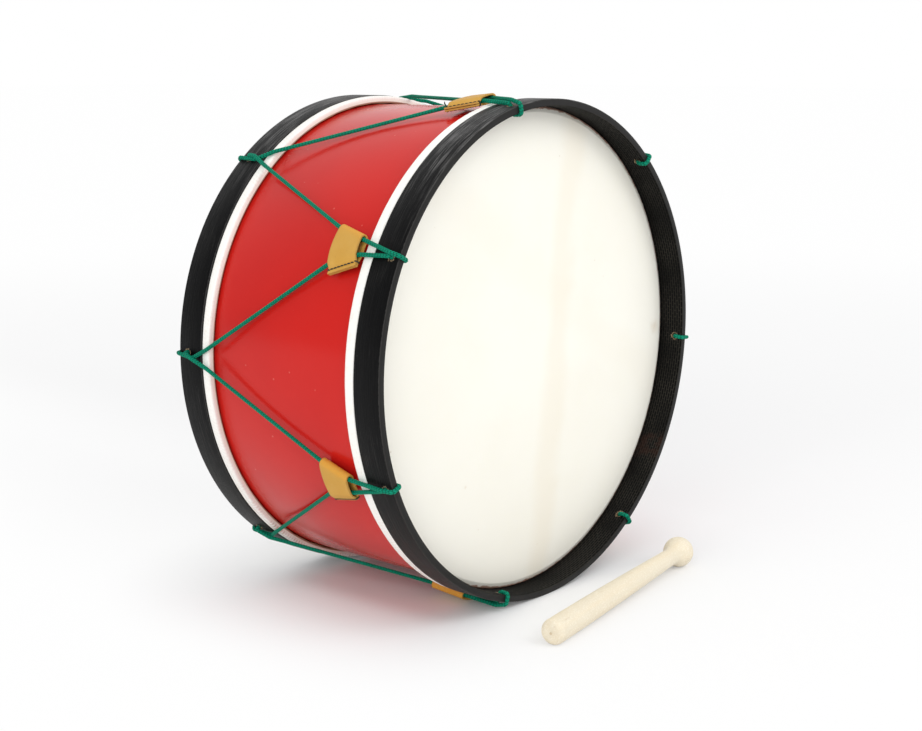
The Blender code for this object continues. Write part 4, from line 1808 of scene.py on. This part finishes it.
    def build_knot(self) -> None:
        """Builds the overhand knot with its two tails."""
        first = math.pi + self.knot_opening
        sweep = TURN - 2 * self.knot_opening
        points = [self.knot_spot(across, along, 1.0) for across, along in reversed(self.knot_tail)]
        for step in range(self.knot_steps + 1):
            turn = first + sweep * step / self.knot_steps
            across = math.sin(turn) + 2 * math.sin(2 * turn)
            along = 2 * math.cos(2 * turn) - math.cos(turn)
            points.append(self.knot_spot(across, along, -math.sin(3 * turn)))
        points += [self.knot_spot(-across, along, -1.0) for across, along in self.knot_tail]
        line = Centreline.evenly(points, self.step)
        pull = np.ones(len(line.points))
        piece = self.cord.build("rope_knot_tied", line, [(0, len(line.points) - 1)], pull)
        self.hand_in(piece, self.body, "rope_knot", BraidedRope())

    def build(self) -> None:
        """Builds the rope and its knot."""
        self.build_rope()
        self.build_knot()


@dataclass
class Beater(Piecework):
    """The turned beater, lying on its ball and the end of its grip."""

    body: str = "beater"
    length: float = 0.210
    ball: float = 0.0113
    grip: float = 0.0089
    rounding: float = 0.0049
    taper: float = 1.6
    neck: float = 0.0064
    neck_to_ball: float = 0.0223
    flare: float = 0.0003
    shoulder: int = 48
    ahead: float = 0.0495
    aside: float = 0.0215
    turn: float = math.radians(8.0)
    dimple: float = 0.0011
    steps: int = 72
    stations: int = 10
    crease_angle: float = 40.0

    def outline(self) -> Outline:
        """(radius, distance) from the grip's end to the ball's end."""
        centre = self.length - self.ball
        neck = centre - self.neck_to_ball
        end: Outline = [(0.0, 0.0007), (self.dimple * 0.5, 0.0004), (self.dimple, 0.00005)]
        for degrees in range(8, 90, 9):
            lean = math.radians(degrees)
            radius = self.grip - self.rounding * (1 - math.sin(lean))
            end.append((radius, self.rounding * (1 - math.cos(lean))))
        handle: Outline = []
        for number in range(1, self.stations + 1):
            share = number / self.stations
            radius = self.grip - (self.grip - self.neck) * share**self.taper
            handle.append((radius, self.rounding + (neck - self.rounding) * share))
        meet = centre - self.ball * math.cos(math.radians(self.shoulder))
        handle.append((self.neck + self.flare * 0.4, (neck + meet) / 2))
        handle.append((self.neck + self.flare * 2.2, (neck + 3 * meet) / 4 + 0.0006))
        ball: Outline = []
        for degrees in range(self.shoulder + 3, 178, 5):
            lean = math.radians(degrees)
            ball.append((self.ball * math.sin(lean), centre - self.ball * math.cos(lean)))
        middle = flowing([end[-1], *handle, ball[0]], 6)
        return end[:-1] + middle + ball[1:] + [(0.0, self.length)]

    def build(self) -> None:
        """Builds the beater and lays it on the floor."""
        points = [Vector((radius, 0.0, distance)) for radius, distance in self.outline()]
        piece = lathe("beater_turned", points, Vector((0.0, 0.0, 0.0)), UP, self.steps)
        tilt = math.asin((self.ball - self.grip) / (self.length - self.ball - self.rounding))
        lay = Matrix.Rotation(self.turn, 4, "Z") @ Matrix.Rotation(math.pi / 2 - tilt, 4, "Y")
        start = Vector((self.aside, Layout.front - self.ahead, 0.0)) + lay @ (UP * (-self.length / 2))
        piece.matrix_world = Matrix.Translation(start) @ lay
        settle(piece)
        lowest = min(vertex.co.z for vertex in piece.data.vertices)
        piece.location.z = -lowest
        settle(piece)
        smooth(piece, self.crease_angle)
        start.z -= lowest
        wood = Wood("beater wood", turn=tuple(lay.to_euler()), centre=tuple(start), mark_radius=self.dimple)
        self.hand_in(piece, self.body, "beater", wood)


@dataclass
class Studio:
    """The pale floor, the white surroundings, the soft lights and the camera."""

    camera_place: tuple[float, float, float] = (-0.8736, -0.6650, 0.3753)
    camera_right: tuple[float, float, float] = (0.6440, -0.7650, 0.0)
    camera_up: tuple[float, float, float] = (0.1439, 0.1212, 0.9821)
    lens: float = 62.2
    fill: float = 0.80
    dim: float = 0.30
    bright_side: tuple[float, float, float] = (0.75, 0.45, 0.25)
    floor_size: float = 40.0
    floor_colour: Colour = (0.88, 0.88, 0.885)
    floor_glow: tuple[float, float, float] = (0.02, 0.72, 0.985)
    # Painted light on the floor to the left of the drum.
    painted_left_light: float = 0.26
    # Painted shadow on the floor to the right of and behind the drum.
    painted_right_shadow: float = 0.34

    def camera(self) -> None:
        """Sets the camera where the photograph was taken from."""
        data = bpy.data.cameras.new("photo_camera")
        data.lens = self.lens
        data.sensor_width = 36.0
        data.clip_end = 100.0
        camera = link("photo_camera", data)
        right = Vector(self.camera_right).normalized()
        up = Vector(self.camera_up).normalized()
        turn = Matrix((right, up, right.cross(up))).transposed().to_4x4()
        camera.matrix_world = Matrix.Translation(self.camera_place) @ turn
        bpy.context.scene.camera = camera

    def surroundings(self) -> None:
        """A white room: plain fill light, pure white where it is seen, and white towards one side but
        dimmer elsewhere where it is mirrored.
        """
        world = bpy.data.worlds.new("white_room")
        world.use_nodes = True
        bpy.context.scene.world = world
        g = Graph(world.node_tree)
        path = g.add("LightPath")
        glossy = g.out(path, "Is Glossy Ray")
        seen = g.out(path, "Is Camera Ray").most(g.out(path, "Is Transmission Ray"))
        side = g.measure("DOT_PRODUCT", g.out(g.add("TexCoord"), "Generated"), self.bright_side)
        mirrored = glossy * side.ramp(-0.2, 0.5, self.dim, 1.0)
        strength = (1.0 - seen.most(glossy)) * self.fill + seen.most(mirrored)
        g.feeds(world.node_tree.nodes["Background"], Color=(1.0, 1.0, 1.0, 1.0), Strength=strength)

    def floor(self) -> None:
        """A wide pale floor that keeps the drum's shadow and fades to white, with painted light to the left
        of the drum and a painted shadow to its right and behind it.
        """
        select_only()
        bpy.ops.mesh.primitive_plane_add(size=self.floor_size, location=(0.0, 0.0, 0.0))
        floor = bpy.context.object
        floor.name = "studio_floor"
        made = bpy.data.materials.new("studio floor")
        made.use_nodes = True
        g = Graph(made.node_tree)
        shader = made.node_tree.nodes["Principled BSDF"]
        shader.inputs["Base Color"].default_value = (*self.floor_colour, 1.0)
        shader.inputs["Roughness"].default_value = 0.7
        shader.inputs["Specular IOR Level"].default_value = 0.15
        path = g.add("LightPath")
        x, y, _ = g.parts(g.out(g.add("TexCoord"), "Object"))
        aside = (abs(x) - 0.08).most(0.0)
        ahead = (abs(y - 0.08) - 0.06).most(0.0)
        away = g.measure("LENGTH", g.whole(aside, ahead, 0.0))
        under, near, open_floor = self.floor_glow
        # Painted light: the floor glows more to the left of the drum.
        left = x.ramp(-0.24, 0.05, self.painted_left_light, 0.0) * away.ramp(0.0, 0.03)
        far = away.ramp(0.0, 0.17, under, near) + left + away.ramp(0.14, 1.0, 0.0, open_floor - near)
        # Painted shadow: the floor glows less to the right of and behind the drum.
        right = x.ramp(0.05, 0.30) * y.ramp(-0.20, 0.10) * away.ramp(0.3, 2.2, self.painted_right_shadow, 0.0)
        seen = g.out(path, "Is Camera Ray").most(g.out(path, "Is Glossy Ray"))
        glow = seen * (far.least(open_floor) - right)
        mix = g.add("MixShader", glow, g.out(shader), g.out(g.add("Emission")))
        g.feed(made.node_tree.nodes["Material Output"].inputs["Surface"], g.out(mix))
        floor.data.materials.append(made)
        floor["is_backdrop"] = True

    def lamp(self, name: str, place: tuple, aim: tuple, size: float, watts: float) -> None:
        """Hangs one soft square light.

        Args:
            name: Name of the light.
            place: Where it hangs.
            aim: Where it points.
            size: Length of its side.
            watts: Its power.
        """
        data = bpy.data.lights.new(name, "AREA")
        data.shape = "SQUARE"
        data.size = size
        data.energy = watts
        lamp = link(name, data)
        lamp.location = place
        lamp.rotation_euler = (Vector(aim) - Vector(place)).to_track_quat("-Z", "Y").to_euler()

    def build(self) -> None:
        """Sets up the whole studio."""
        bpy.context.scene.view_settings.view_transform = "Standard"
        self.camera()
        self.surroundings()
        self.floor()
        self.lamp("overhead_softbox", (0.30, -1.05, 1.20), (0.0, 0.05, 0.15), 0.9, 7.2)
        self.lamp("side_softbox", (-1.9, -0.75, 0.95), (0.0, 0.0, 0.15), 1.2, 12.8)


FLANGES = (0.0056, 0.0054, 0.0050, 0.0056, 0.0052, 0.0040, 0.0056)


def write_sizes(before: object, after: object) -> None:
    """Turns the CAD box and the visual model's box into plain numbers, which are not kept."""

    def plain(value: object) -> object:
        """Vectors as lists of numbers."""
        if isinstance(value, dict):
            return {name: plain(part) for name, part in value.items()}
        if isinstance(value, (int, float, str)) or value is None:
            return value
        return [plain(part) for part in value]

    {"cad": plain(before), "visual": plain(after)}


def main() -> None:
    """Builds the studio and every sub-assembly, in order."""
    logging.basicConfig(level=logging.INFO, format="%(name)s %(message)s")
    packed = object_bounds()
    Studio().build()
    TensionRope().build()
    Shell().build()
    for end in End:
        Head(end=end).build()
        CounterHoop(end=end).build()
    for index, flange in enumerate(FLANGES):
        LeatherEar(place=EarPlace(index=index), flange=flange, loose_end=index == 0).build()
    Beater().build()
    write_sizes(packed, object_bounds())


if __name__ == "__main__":
    main()
